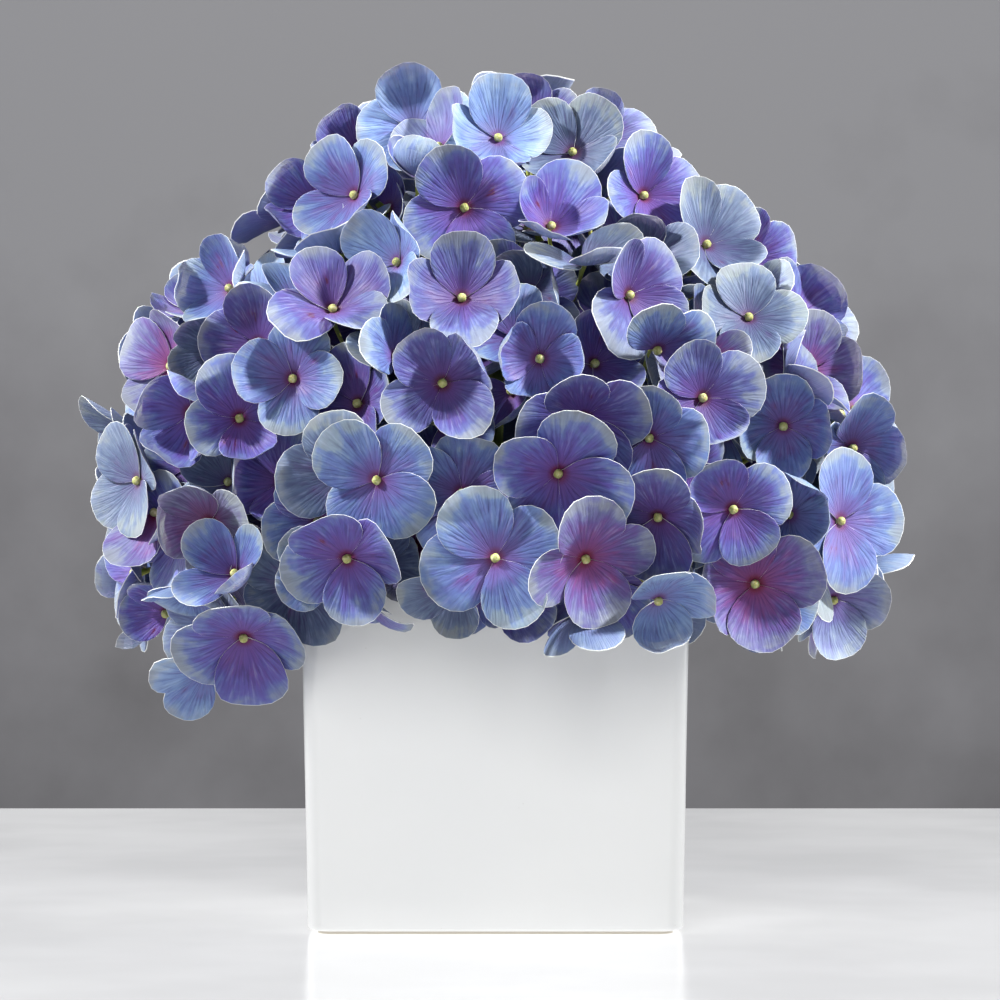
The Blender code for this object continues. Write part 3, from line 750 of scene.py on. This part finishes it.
class Bouquet:
    """The florets of the model with their petals shaped, and more petals in the gaps between."""

    def __init__(self, layout):
        self.layout = layout
        self.florets = list(layout.placed)
        self.clusters = [home for home, _ in layout.stalks]
        self.grids = []
        self.trees = []

    def shape_petal(self, floret, number, k, others):
        """The wildest shape of a petal that touches none of the others, or None."""
        for attempt, (half_angle, wildness) in enumerate(PETAL_TRIES):
            form = petal_form(floret, number, half_angle, wildness, k, attempt)
            rows = petal_grid(floret, k, form)
            tree = petal_tree(rows)
            if not any(tree.overlap(other) for other in others):
                return rows, form.mood, tree
        return None

    def obstacles(self, floret, number):
        """Finished petals near a floret, plain shapes of those not finished yet, and stalks."""
        found = list(self.layout.solids)
        for i, other in enumerate(self.florets):
            if i == number or (other.centre - floret.centre).length > (other.span + floret.span) * 0.56:
                continue
            found += self.trees[i] if i < len(self.trees) else [self.layout.petals[i]]
            if i < len(self.layout.stalks):
                found.append(self.layout.stalks[i][1])
        return found

    def shape_all(self):
        """Petals of the model's own florets. A petal that is never clear keeps its plainest shape."""
        for number, floret in enumerate(self.florets):
            others = self.obstacles(floret, number)
            grids, trees = [], []
            for k in range(PETALS):
                made = self.shape_petal(floret, number, k, others + trees)
                if made is None:
                    form = petal_form(floret, number, PETAL_TRIES[-1][0], 0.0, k)
                    rows = petal_grid(floret, k, form)
                    made = rows, form.mood, petal_tree(rows)
                grids.append(made[:2])
                trees.append(made[2])
            self.grids.append(grids)
            self.trees.append(trees)

    def tuck_in(self, floret, least, in_sight=False):
        """Add a floret between the others. Petals that would cut into something are left off.

        Where its stalk would be in sight, that has to be clear of the other petals too.
        """
        inward = (dome_centre() - floret.centre).normalized()
        number = len(self.florets)
        for sink in TUCK_SINKS:
            tried = floret._replace(centre=floret.centre + inward * sink)
            if self.layout.inside_vase(tried):
                continue
            others = self.obstacles(tried, number)
            cluster = self.layout.nearest_hub(tried.centre)
            stalk = self.layout.stalk_tree(tried, cluster, 0)
            if in_sight and any(stalk.overlap(other) for other in others[len(self.layout.solids):]):
                continue
            shaped = []
            for k in range(PETALS):
                own = [made[2] for made in shaped]
                made = self.shape_petal(tried, number, k, others + own)
                shaped += [made] if made else []
            if len(shaped) >= least:
                self.florets.append(tried)
                self.clusters.append(cluster)
                self.grids.append([made[:2] for made in shaped])
                self.trees.append([made[2] for made in shaped])
                return

    def fill_gaps(self):
        for floret in self.layout.left_out:
            self.tuck_in(floret, 2)
        draw = random.Random(TUCK_SEED)
        for depth, count, least, tilt in TUCK_LAYERS:
            # Deeper layers take the darker tones: painted shade between the florets.
            tones = PAINTED_SHADE_TONES if depth > DEEP_FROM else FILL_TONES
            for way in spread_directions(count, FILL_LOWEST):
                outward = (dome_point(way) - dome_centre()).normalized()
                lean = Vector([math.radians(draw.uniform(-tilt, tilt)) for _ in range(3)])
                floret = Floret(dome_point(way) - outward * depth, (outward + lean).normalized(),
                                draw.uniform(0, 90), draw.uniform(*TUCK_SPAN),
                                draw.uniform(*FILL_CUP), draw.choice(tones))
                self.tuck_in(floret, least, depth < 0)


def build_petals(name, numbers, bouquet, looks):
    """All florets of one branch: their petals in the tones' materials and their buds."""
    tones = sorted({bouquet.florets[number].tone for number in numbers})
    shape = Shape(PETAL_MARKS)
    for number in numbers:
        floret = bouquet.florets[number]
        first = len(shape.faces)
        for rows, mood in bouquet.grids[number]:
            add_petal(shape, floret, rows, mood)
        shape.slots[first:] = [tones.index(floret.tone)] * (len(shape.faces) - first)
        add_bud(shape, floret, len(tones))
    return shape.to_object(name, [looks[tone] for tone in tones] + [looks["bud"]], 50)


# ---- stalks and stems -----------------------------------------------------------------------

def add_pedicel(shape, floret, hub, number):
    """The thin stalk of a floret, which widens under the petals."""
    own = random.Random(900 + number)
    end = floret.centre - floret.facing * 0.0007
    neck = floret.centre - floret.facing * PEDICEL_NECK * 1.5
    sway = Vector([own.uniform(-1, 1) for _ in range(3)]) * 0.0012
    path = bend(hub, hub + (neck - hub) * 0.45 + sway, neck, end, PEDICEL_STEPS)
    radii = [PEDICEL_RADIUS * (0.82 + 0.10 * math.sin(i * 1.9 + number)) for i in range(len(path))]
    radii[0] = PEDICEL_RADIUS * 1.25
    radii[-2] = PEDICEL_RADIUS * 1.05
    radii[-1] = EYE_RADIUS * 0.92
    shape.add(*tube(path, radii, PEDICEL_SIDES), 0, mood=own.random())


def add_ray(shape, ray, number):
    """The stalk from the stem to the hub, slightly bowed, and the swelling where it branches."""
    own = random.Random(700 + number)
    start, _, hub = ray
    way = (hub - start).normalized()
    bow = way.orthogonal().normalized() * own.uniform(-0.0006, 0.0006)
    path = bend(start, start + (hub - start) / 3 + bow, start + (hub - start) * 2 / 3 - bow,
                hub - way * HUB_RADIUS, FINE_RAY_STEPS)
    radii = [RAY_RADIUS * (1 + 0.06 * math.sin(i * 2.3 + number)) for i in range(len(path))]
    radii[0] = RAY_RADIUS * 1.35
    for rise in (-35, -5, 25, 55):
        turn = math.radians(rise)
        path.append(hub + way * HUB_RADIUS * 0.8 * math.sin(turn))
        radii.append(HUB_RADIUS * 0.92 * math.cos(turn))
    path[-5] = hub - way * HUB_RADIUS
    shape.add(*tube(path, radii, FINE_RAY_SIDES), 0, mood=own.random())


def build_stalks(name, cluster, ray, numbers, bouquet, look):
    shape = Shape(("mood",))
    add_ray(shape, ray, cluster)
    for number in numbers:
        add_pedicel(shape, bouquet.florets[number], ray[-1], number)
    return shape.to_object(name, [look], 60)


def build_stem(name, knob, look):
    """A ribbed stem, cut square at its foot, whose top swells into the knob that bears the rays."""
    coarse = stem_path(knob)
    foot, mouth = coarse[0], coarse[1]
    path = [foot + (mouth - foot) * i / STEM_FOOT_STEPS for i in range(STEM_FOOT_STEPS)]
    outward = Vector((knob.x, knob.y, 0))
    rise = (mouth - foot).normalized() * (knob.z - mouth.z) * STEM_STRAIGHT
    arrive = Vector((0, 0, KNOB_PULL))
    if outward.length > STEM_RING:
        arrive = outward.normalized() * KNOB_PULL
    path += bend(mouth, mouth + rise, knob - arrive, knob, FINE_STEM_STEPS)[:-2]
    radii = [STEM_RADIUS] * len(path)
    swelling = (coarse[-1] - coarse[-2]).normalized()
    for angle in FINE_KNOB_TURNS:
        turn = math.radians(angle)
        path.append(knob + swelling * KNOB_RADIUS * math.sin(turn))
        radii.append(KNOB_RADIUS * math.cos(turn))
    points, faces = tube(path, radii, FINE_STEM_SIDES)
    for i, point in enumerate(points):
        ring, around = divmod(i, FINE_STEM_SIDES)
        rib = math.cos(math.tau * around / FINE_STEM_SIDES * STEM_RIBS)
        centre = path[ring]
        points[i] = centre + (point - centre) * (0.965 + 0.03 * rib)
    shape = Shape(("mood",))
    shape.add(points, faces, 0, mood=0.5)
    return shape.to_object(name, [look], 60)


# ---- vase and foam --------------------------------------------------------------------------

CORNER_STEPS = 10
SIDE_STEPS = 9


def soft_square(half, corner, height):
    """A loop of the vase: a rounded square whose sides are divided too."""
    loop = []
    arcs = rounded_square(half, corner, height, CORNER_STEPS)
    size = CORNER_STEPS + 1
    for quarter in range(4):
        arc = arcs[quarter * size:(quarter + 1) * size]
        loop += arc
        there = arcs[(quarter + 1) % 4 * size]
        loop += [arc[-1] + (there - arc[-1]) * i / SIDE_STEPS for i in range(1, SIDE_STEPS)]
    return loop


def vase_outline():
    """Half width, corner radius and height of each loop, from the foot up, over and inside."""
    foot = vase_half(0) - FOOT_INSET
    outline = [(foot, VASE_CORNER, 0.0), (foot, VASE_CORNER, FOOT_HEIGHT * 0.6),
               (foot + 0.0002, VASE_CORNER, FOOT_HEIGHT)]
    for angle in range(0, 91, 15):
        turn = math.radians(angle)
        height = FOOT_HEIGHT + VASE_EDGE * (1 - math.cos(turn))
        inset = VASE_EDGE * (1 - math.sin(turn))
        outline.append((vase_half(height) - inset, VASE_CORNER, height))
    bead = VASE_WALL / 2
    low, high = FOOT_HEIGHT + VASE_EDGE, VASE_HEIGHT - bead
    for i in range(1, 14):
        height = blend_value(low, high, i / 14)
        outline.append((vase_half(height), VASE_CORNER, height))
    for angle in range(0, 181, 15):
        turn = math.radians(angle)
        height = high + bead * math.sin(turn)
        inset = bead * (1 - math.cos(turn))
        outline.append((vase_half(height) - inset, VASE_CORNER - inset / 2, height))
    inner = VASE_CORNER - VASE_WALL / 2
    for i in range(1, 9):
        height = blend_value(high, VASE_FLOOR + 0.003, i / 8)
        outline.append((vase_half(height) - VASE_WALL, inner, height))
    outline.append((vase_half(VASE_FLOOR) - VASE_WALL - 0.001, inner, VASE_FLOOR + 0.0008))
    outline.append((vase_half(VASE_FLOOR) - VASE_WALL - 0.003, inner, VASE_FLOOR))
    return outline


def build_vase(look):
    """The glazed body with a soft hand to it: its walls wander by a tenth of a millimetre."""
    loops = [soft_square(*step) for step in vase_outline()]
    for loop in loops:
        for i, point in enumerate(loop):
            wander = noise.noise(point * 22) * 0.00012
            loop[i] = point - Vector((point.x, point.y, 0)).normalized() * (0.00012 + wander)
    shape = Shape()
    shape.add(*lofted(loops))
    return shape.to_object("vase_body", [look], 40)


def build_foam(look):
    """The foam block with its stem holes, remeshed so that its crumbly skin is real."""
    made = bpy.data.objects.new("foam_block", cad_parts["floral_foam"].data.copy())
    bpy.context.scene.collection.objects.link(made)
    grain = made.modifiers.new("grain", "REMESH")
    grain.mode = "VOXEL"
    grain.voxel_size = 0.0024
    mesh = bpy.data.meshes.new_from_object(made.evaluated_get(bpy.context.evaluated_depsgraph_get()))
    made.modifiers.clear()
    made.data = mesh
    for point in mesh.vertices:
        crumb = noise.noise(point.co * 420) * 0.5 + 0.5
        point.co -= point.normal * crumb * 0.0005
    mesh.materials.clear()
    mesh.materials.append(look)
    return made


# ---- materials ------------------------------------------------------------------------------

class Look:
    """A material while it is wired up: each call adds a node and returns its output."""

    def __init__(self, name, roughness=0.5, specular=0.4):
        self.made = bpy.data.materials.new(name)
        self.made.use_nodes = True
        self.tree = self.made.node_tree
        self.shader = self.tree.nodes["Principled BSDF"]
        self.set("Roughness", roughness)
        self.set("Specular IOR Level", specular)

    def set(self, socket, value):
        """A number or colour is set on the shader's own socket, and an output is linked to it."""
        if isinstance(value, bpy.types.NodeSocket):
            self.tree.links.new(value, self.shader.inputs[socket])
        else:
            self.shader.inputs[socket].default_value = value

    def node(self, kind, settings=None, **inputs):
        made = self.tree.nodes.new("ShaderNode" + kind)
        for name, value in (settings or {}).items():
            setattr(made, name, value)
        for name, value in inputs.items():
            socket = made.inputs[int(name[1:]) if name[1:].isdigit() else name.replace("_", " ")]
            if isinstance(value, bpy.types.NodeSocket):
                self.tree.links.new(value, socket)
            else:
                socket.default_value = value
        return made

    def mark(self, name):
        return self.node("Attribute", {"attribute_name": name}).outputs["Fac"]

    def math(self, operation, first, second=0.0, third=0.0):
        return self.node("Math", {"operation": operation}, i0=first, i1=second, i2=third).outputs[0]

    def spread(self, value, low, high, to_low=0.0, to_high=1.0):
        """The value's range from low to high, stretched smoothly to another range."""
        return self.node("MapRange", {"interpolation_type": "SMOOTHSTEP"}, Value=value, i1=low,
                         i2=high, i3=to_low, i4=to_high).outputs[0]

    def vector(self, x, y, z):
        return self.node("CombineXYZ", X=x, Y=y, Z=z).outputs[0]

    def noise(self, place, scale, detail=3.0):
        return self.node("TexNoise", Vector=place, Scale=scale, Detail=detail).outputs["Fac"]

    def mix(self, share, first, second, mode="MIX"):
        settings = {"data_type": "RGBA", "blend_type": mode}
        first, second = [(*c, 1) if isinstance(c, tuple) else c for c in (first, second)]
        return self.node("Mix", settings, i0=share, i6=first, i7=second).outputs[2]

    def ramp(self, value, stops):
        made = self.node("ValToRGB", Fac=value)
        points = made.color_ramp.elements
        while len(points) < len(stops):
            points.new(0.5)
        for point, (place, tint) in zip(points, stops):
            point.position = place
            point.color = (*linear(tint), 1)
        return made.outputs["Color"]

    def bump(self, height, strength, distance):
        self.set("Normal", self.node("Bump", Strength=strength, Distance=distance,
                                     Height=height).outputs["Normal"])


# Screen colours of a petal at its claw, near it, a third out, at its middle, further out and
# at its margin.
TONES = {
    "blue": ("5c2458", "5c4685", "585592", "54639c", "6077a4", "8092a2"),
    "purple": ("4c143c", "4f3074", "4c3c7c", "494785", "545e90", "717b90"),
    "violet": ("5c1848", "5d3b82", "574590", "55529a", "5d6ca2", "7d8ba0"),
    "magenta": ("6c1238", "74346c", "6a4080", "5f4e8c", "636692", "80869a"),
    "pink": ("64183f", "704070", "694e80", "656085", "70758c", "868c92"),
    "pale": ("64427a", "66689e", "6276aa", "6c86b2", "8099ba", "9dadbc"),
    "lilac": ("5c2a60", "665490", "646298", "6a729e", "7886a4", "919eaa"),
    "grey": ("4c2c54", "4e4c74", "4a5676", "526280", "607088", "7c878a"),
}
TONE_PLACES = (0.05, 0.13, 0.34, 0.58, 0.82, 1.0)
RIM_COLOUR = "e2e4de"
MARGIN_COLOUR = "7b8086"
VEIN_COLOUR = "2a1c54"
# Lines across a petal, where along it they begin, and how strong they are.
VEIN_FORKS = ((5.5, 0.0, 1.0), (11.0, 0.34, 0.7), (22.0, 0.62, 0.5))
UNDER_COLOUR = "7486a6"


def centred(look, value, amount):
    """A noise value around 0.5 turned into a shift around zero."""
    return look.math("MULTIPLY", look.math("SUBTRACT", value, 0.5), amount)


def petal_veins(look, along, across, seed):
    """Thin lines that fan out from the claw and fork twice on the way to the margin."""
    sway_place = look.vector(look.math("MULTIPLY", across, 3.0), look.math("MULTIPLY", along, 1.2), seed)
    sway = centred(look, look.noise(sway_place, 1.5, 2.0), 0.9)
    veins = None
    for count, start, strength in VEIN_FORKS:
        phase = look.math("ADD", look.math("MULTIPLY", across, count), sway)
        wave = look.math("PINGPONG", phase, 0.5)
        line = look.spread(wave, 0.02 + 0.004 * count, 0.12 + 0.010 * count, 1.0, 0.0)
        line = look.math("MULTIPLY", line, look.spread(along, start, start + 0.18))
        line = look.math("MULTIPLY", line, strength)
        veins = line if veins is None else look.math("MAXIMUM", veins, line)
    broken = look.spread(look.noise(sway_place, 4.0, 3.0), 0.35, 0.6, 0.25, 1.0)
    veins = look.math("MULTIPLY", veins, broken)
    return look.math("MULTIPLY", veins, look.spread(along, 0.55, 1.0, 1.0, 0.4))


def petal_look(name, tints):
    """A petal: rings of colour from the claw out, fanning bands, a pale edge and a paler back."""
    look = Look("petal_" + name, 0.56, 0.3)
    along, across = look.mark("along"), look.mark("across")
    mood, under, rim = look.mark("mood"), look.mark("under"), look.mark("rim")
    seed = look.math("MULTIPLY", mood, 37.0)
    place = look.vector(look.math("MULTIPLY", across, 1.6), look.math("MULTIPLY", along, 2.2), seed)
    cloud = look.noise(place, 1.6, 4.0)
    fan = look.vector(look.math("MULTIPLY", across, 5.0), look.math("MULTIPLY", along, 0.7), seed)
    band = look.noise(fan, 1.5, 4.0)
    fine_fan = look.vector(look.math("MULTIPLY", across, 11.0), look.math("MULTIPLY", along, 2.0), seed)
    streak = look.noise(fine_fan, 1.5, 4.0)

    drift = look.math("ADD", centred(look, cloud, 1.05), centred(look, band, 0.8))
    drift = look.math("ADD", drift, centred(look, mood, 0.34))
    reached = look.math("ADD", along, look.math("MULTIPLY", drift, look.spread(along, 0.10, 0.5)))
    colour = look.ramp(reached, list(zip(TONE_PLACES, tints)))

    aged = look.math("MULTIPLY", look.spread(along, 0.72, 1.0), look.spread(cloud, 0.38, 0.6))
    colour = look.mix(look.math("MULTIPLY", aged, 0.75), colour, linear(MARGIN_COLOUR))
    pale_band = look.math("MULTIPLY", look.spread(streak, 0.5, 0.72), look.spread(along, 0.1, 0.5))
    colour = look.mix(look.math("MULTIPLY", pale_band, 0.16), colour, linear("b4bedc"))
    dark_band = look.math("MULTIPLY", look.spread(streak, 0.5, 0.3), look.spread(along, 1.0, 0.5))
    colour = look.mix(look.math("MULTIPLY", dark_band, 0.4), colour, linear(VEIN_COLOUR))
    veins = petal_veins(look, along, across, seed)
    colour = look.mix(look.math("MULTIPLY", veins, 0.27), colour, linear(VEIN_COLOUR))

    colour = look.mix(look.math("MULTIPLY", under, 0.52), colour, linear(UNDER_COLOUR))
    colour = look.mix(look.math("MULTIPLY", look.spread(rim, 0.3, 0.85), 0.85), colour,
                      linear(RIM_COLOUR))
    look.set("Base Color", colour)
    look.set("Subsurface Weight", 0.12)
    look.set("Subsurface Radius", (1.0, 0.8, 1.1))
    look.set("Subsurface Scale", 0.001)
    look.set("Sheen Weight", 0.1)
    look.set("Roughness", look.spread(cloud, 0.3, 0.7, 0.48, 0.64))
    look.bump(look.math("SUBTRACT", look.math("MULTIPLY", streak, 0.7), veins), 0.4, 0.0003)
    return look.made


def bud_look():
    look = Look("bud", 0.5, 0.4)
    place = look.node("TexCoord").outputs["Object"]
    mottle = look.noise(place, 900.0, 3.0)
    look.set("Base Color", look.ramp(mottle, ((0.3, "838a46"), (0.5, "aaab6a"), (0.72, "c9c596"))))
    look.set("Subsurface Weight", 0.15)
    look.set("Subsurface Scale", 0.0008)
    look.set("Roughness", look.spread(mottle, 0.3, 0.7, 0.42, 0.6))
    look.bump(mottle, 0.3, 0.0002)
    return look.made


def stalk_look():
    look = Look("stalk", 0.5, 0.4)
    place = look.node("TexCoord").outputs["Object"]
    mood = look.mark("mood")
    broad = look.noise(place, 70.0, 3.0)
    fine = look.noise(place, 1400.0, 3.0)
    shade = look.math("ADD", look.math("MULTIPLY", broad, 0.7), look.math("MULTIPLY", mood, 0.3))
    colour = look.ramp(shade, ((0.25, "6f7f2c"), (0.5, "a3ab4a"), (0.8, "c9c878")))
    speck = look.spread(fine, 0.62, 0.75)
    colour = look.mix(look.math("MULTIPLY", speck, 0.35), colour, linear("6a4a3a"))
    look.set("Base Color", colour)
    look.set("Subsurface Weight", 0.1)
    look.set("Subsurface Scale", 0.001)
    look.set("Roughness", look.spread(fine, 0.3, 0.7, 0.42, 0.6))
    look.bump(fine, 0.25, 0.0002)
    return look.made


def stem_look():
    """Older, woodier growth than the stalks: brown lenticels on dull green."""
    look = Look("stem", 0.6, 0.35)
    place = look.node("TexCoord").outputs["Object"]
    broad = look.noise(place, 40.0, 4.0)
    spots = look.node("TexVoronoi", Vector=place, Scale=420.0).outputs["Distance"]
    colour = look.ramp(broad, ((0.3, "4e5a2c"), (0.55, "7c8442"), (0.8, "95905a")))
    colour = look.mix(look.spread(spots, 0.16, 0.28, 0.7, 0.0), colour, linear("5b4230"))
    look.set("Base Color", colour)
    look.set("Roughness", look.spread(broad, 0.3, 0.7, 0.5, 0.72))
    look.bump(look.math("ADD", look.spread(spots, 0.1, 0.3), broad), 0.3, 0.0004)
    return look.made


def glaze_look():
    """White glaze: glossy, faintly uneven, with a few pinholes and a warmer bare foot."""
    look = Look("glaze", 0.12, 0.5)
    place = look.node("TexCoord").outputs["Object"]
    broad = look.noise(place, 14.0, 2.0)
    fine = look.noise(place, 260.0, 3.0)
    pits = look.node("TexVoronoi", Vector=place, Scale=150.0).outputs["Distance"]
    pinhole = look.spread(pits, 0.012, 0.03, 1.0, 0.0)
    height = look.node("SeparateXYZ", Vector=place).outputs["Z"]
    bare = look.spread(height, FOOT_HEIGHT * 0.4, FOOT_HEIGHT * 1.1, 1.0, 0.0)
    colour = look.mix(broad, linear("e6e7e7"), linear("efefed"))
    colour = look.mix(look.math("MULTIPLY", pinhole, 0.35), colour, linear("a8a294"))
    colour = look.mix(bare, colour, linear("c9c1b2"))
    look.set("Base Color", colour)
    gloss = look.spread(fine, 0.3, 0.7, 0.10, 0.17)
    look.set("Roughness", look.math("ADD", gloss, look.math("MULTIPLY", bare, 0.5)))
    look.set("Coat Weight", 0.5)
    look.set("Coat Roughness", 0.05)
    relief = look.math("SUBTRACT", look.math("MULTIPLY", broad, 2.0), pinhole)
    look.bump(look.math("ADD", relief, look.math("MULTIPLY", fine, 0.15)), 0.12, 0.0006)
    return look.made


def foam_look():
    """Wet floral foam: dark green, full of fine cells."""
    look = Look("foam", 0.9, 0.2)
    place = look.node("TexCoord").outputs["Object"]
    cells = look.node("TexVoronoi", Vector=place, Scale=1300.0).outputs["Distance"]
    broad = look.noise(place, 60.0, 4.0)
    colour = look.ramp(broad, ((0.3, "20361c"), (0.55, "2f4f2a"), (0.75, "44663a")))
    colour = look.mix(look.spread(cells, 0.1, 0.5, 0.6, 0.0), colour, linear("142410"))
    look.set("Base Color", colour)
    look.set("Roughness", look.spread(cells, 0.1, 0.6, 0.97, 0.82))
    look.bump(cells, 0.6, 0.0006)
    return look.made


def floor_look():
    look = Look("white_table", 0.2, 0.35)
    place = look.node("TexCoord").outputs["Object"]
    haze = look.noise(place, 9.0, 3.0)
    look.set("Base Color", look.mix(haze, linear("e9e9e9"), linear("f1f1f1")))
    look.set("Roughness", look.spread(haze, 0.3, 0.7, 0.19, 0.26))
    return look.made


def wall_look():
    look = Look("grey_wall", 0.85, 0.2)
    place = look.node("TexCoord").outputs["Object"]
    coarse = look.noise(place, 1.7, 6.0)
    fine = centred(look, look.noise(place, 6.0, 6.0), 2.6)
    mottle = look.math("ADD", coarse, fine)
    # Painted light: the wall is lighter towards the top and darker low down, as the light falls on it,
    # with the mottling added to it.
    height = look.node("SeparateXYZ", Vector=place).outputs["Z"]
    shade = look.math("ADD", look.spread(height, -0.3, 0.8), look.math("MULTIPLY", mottle, 0.5))
    look.set("Base Color", look.ramp(shade, ((0.0, "8c8a8c"), (0.5, "a4a2a5"), (1.0, "b6b5b8"))))
    return look.made


# ---- the object -----------------------------------------------------------------------------

def build_object():
    looks = {name: petal_look(name, tints) for name, tints in TONES.items()}
    looks["bud"] = bud_look()
    stalk, stem = stalk_look(), stem_look()
    place_piece(build_vase(glaze_look()), "vase")
    place_piece(build_foam(foam_look()), "floral_foam")
    knobs = knob_places()
    for name, knob in knobs.items():
        place_piece(build_stem("green_stem_" + name, knob, stem), "stem_" + name)

    layout = Layout(knobs)
    layout.place_front()
    layout.place_fill()
    bouquet = Bouquet(layout)
    bouquet.shape_all()
    bouquet.fill_gaps()
    tally = dict.fromkeys(knobs, 0)
    for cluster, (owner, ray) in enumerate(zip(layout.owners, layout.rays)):
        if not layout.members[cluster]:
            continue
        tally[owner] += 1
        branch = f"{owner}_{tally[owner]}"
        own = [i for i, home in enumerate(bouquet.clusters) if home == cluster]
        stalks = build_stalks("stalks_" + branch, cluster, ray, own, bouquet, stalk)
        place_piece(stalks, "cluster_" + branch)
        heads = build_petals("florets_" + branch, own, bouquet, looks)
        place_piece(heads, "cluster_" + branch)


# ---- stage, light and camera ------------------------------------------------------------------

CAMERA_PLACE = Vector((0.0014, -1.200, 0.1331))
CAMERA_VIEW = 15.25
TABLE_END = 0.412
WALL_PLACE = 2.7
STAGE_HALF = 3.0


def plane(name, corners, look):
    mesh = bpy.data.meshes.new(name)
    mesh.from_pydata(corners, [], [tuple(range(len(corners)))])
    mesh.materials.append(look)
    made = bpy.data.objects.new(name, mesh)
    bpy.context.scene.collection.objects.link(made)
    return made


def build_stage():
    half = STAGE_HALF
    table = [(-half, -half, 0), (half, -half, 0), (half, TABLE_END, 0), (-half, TABLE_END, 0)]
    wall = [(-half, WALL_PLACE, -half), (half, WALL_PLACE, -half),
            (half, WALL_PLACE, half), (-half, WALL_PLACE, half)]
    return [plane("table_top", table, floor_look()), plane("back_wall", wall, wall_look())]


def add_light(name, azimuth, elevation, distance, size, power):
    """An area light that looks at the middle of the bouquet."""
    aim = Vector((0, 0, 0.15))
    lamp = bpy.data.lights.new(name, "AREA")
    lamp.shape = "SQUARE"
    lamp.size = size
    lamp.energy = power
    made = bpy.data.objects.new(name, lamp)
    made.location = aim + direction(azimuth, elevation) * distance
    made.rotation_euler = (aim - made.location).to_track_quat("-Z", "Y").to_euler()
    made.visible_camera = False
    bpy.context.scene.collection.objects.link(made)
    return made


def object_list(name, things, state="INCLUDE"):
    """A list for a lamp: these things alone (INCLUDE) or everything but them (EXCLUDE)."""
    listed = bpy.data.collections.new(name)
    for made in things:
        listed.objects.link(made)
    for entry in listed.collection_objects:
        entry.light_linking.link_state = state
    return listed


def build_lights(stage):
    """Hard light from both sides for the bouquet, and soft, even light for vase, table and wall."""
    white = stage + [bpy.data.objects["vase_body"]]
    spared = object_list("spared", white, "EXCLUDE")
    for lamp in (add_light("key_left", -70, 38, 1.5, 0.10, 42),
                 add_light("key_right", 66, 40, 1.5, 0.10, 52),
                 add_light("top", 180, 62, 1.4, 0.3, 12),
                 add_light("petal_fill", -8, 20, 2.2, 1.3, 7)):
        lamp.light_linking.receiver_collection = spared
    overhead = add_light("overhead", 0, 80, 2.4, 2.6, 72)
    overhead.light_linking.receiver_collection = object_list("table_and_wall", stage)
    overhead.light_linking.blocker_collection = object_list("table_alone", stage[:1])
    front_fill = add_light("front_fill", -8, 24, 2.2, 1.3, 22)
    front_fill.light_linking.receiver_collection = object_list("white_things", white)
    off_stage = object_list("off_stage", stage, "EXCLUDE")
    for name, azimuth in (("side_left", -108), ("side_right", 108)):
        add_light(name, azimuth, 5.5, 1.3, 0.5, 9).light_linking.receiver_collection = off_stage
    world = bpy.data.worlds.new("studio")
    world.use_nodes = True
    world.node_tree.nodes["Background"].inputs["Color"].default_value = (*linear("cfd2d6"), 1)
    world.node_tree.nodes["Background"].inputs["Strength"].default_value = 0.35
    bpy.context.scene.world = world
    bpy.context.scene.view_settings.view_transform = "Standard"


def build_camera():
    lens = bpy.data.cameras.new("camera")
    lens.sensor_width = 36
    lens.lens = lens.sensor_width / 2 / math.tan(math.radians(CAMERA_VIEW / 2))
    lens.clip_start, lens.clip_end = 0.05, 20
    made = bpy.data.objects.new("camera", lens)
    made.location = CAMERA_PLACE
    made.rotation_euler = (math.radians(90), 0, 0)
    bpy.context.scene.collection.objects.link(made)
    bpy.context.scene.camera = made


build_camera()
build_object()
build_lights(build_stage())
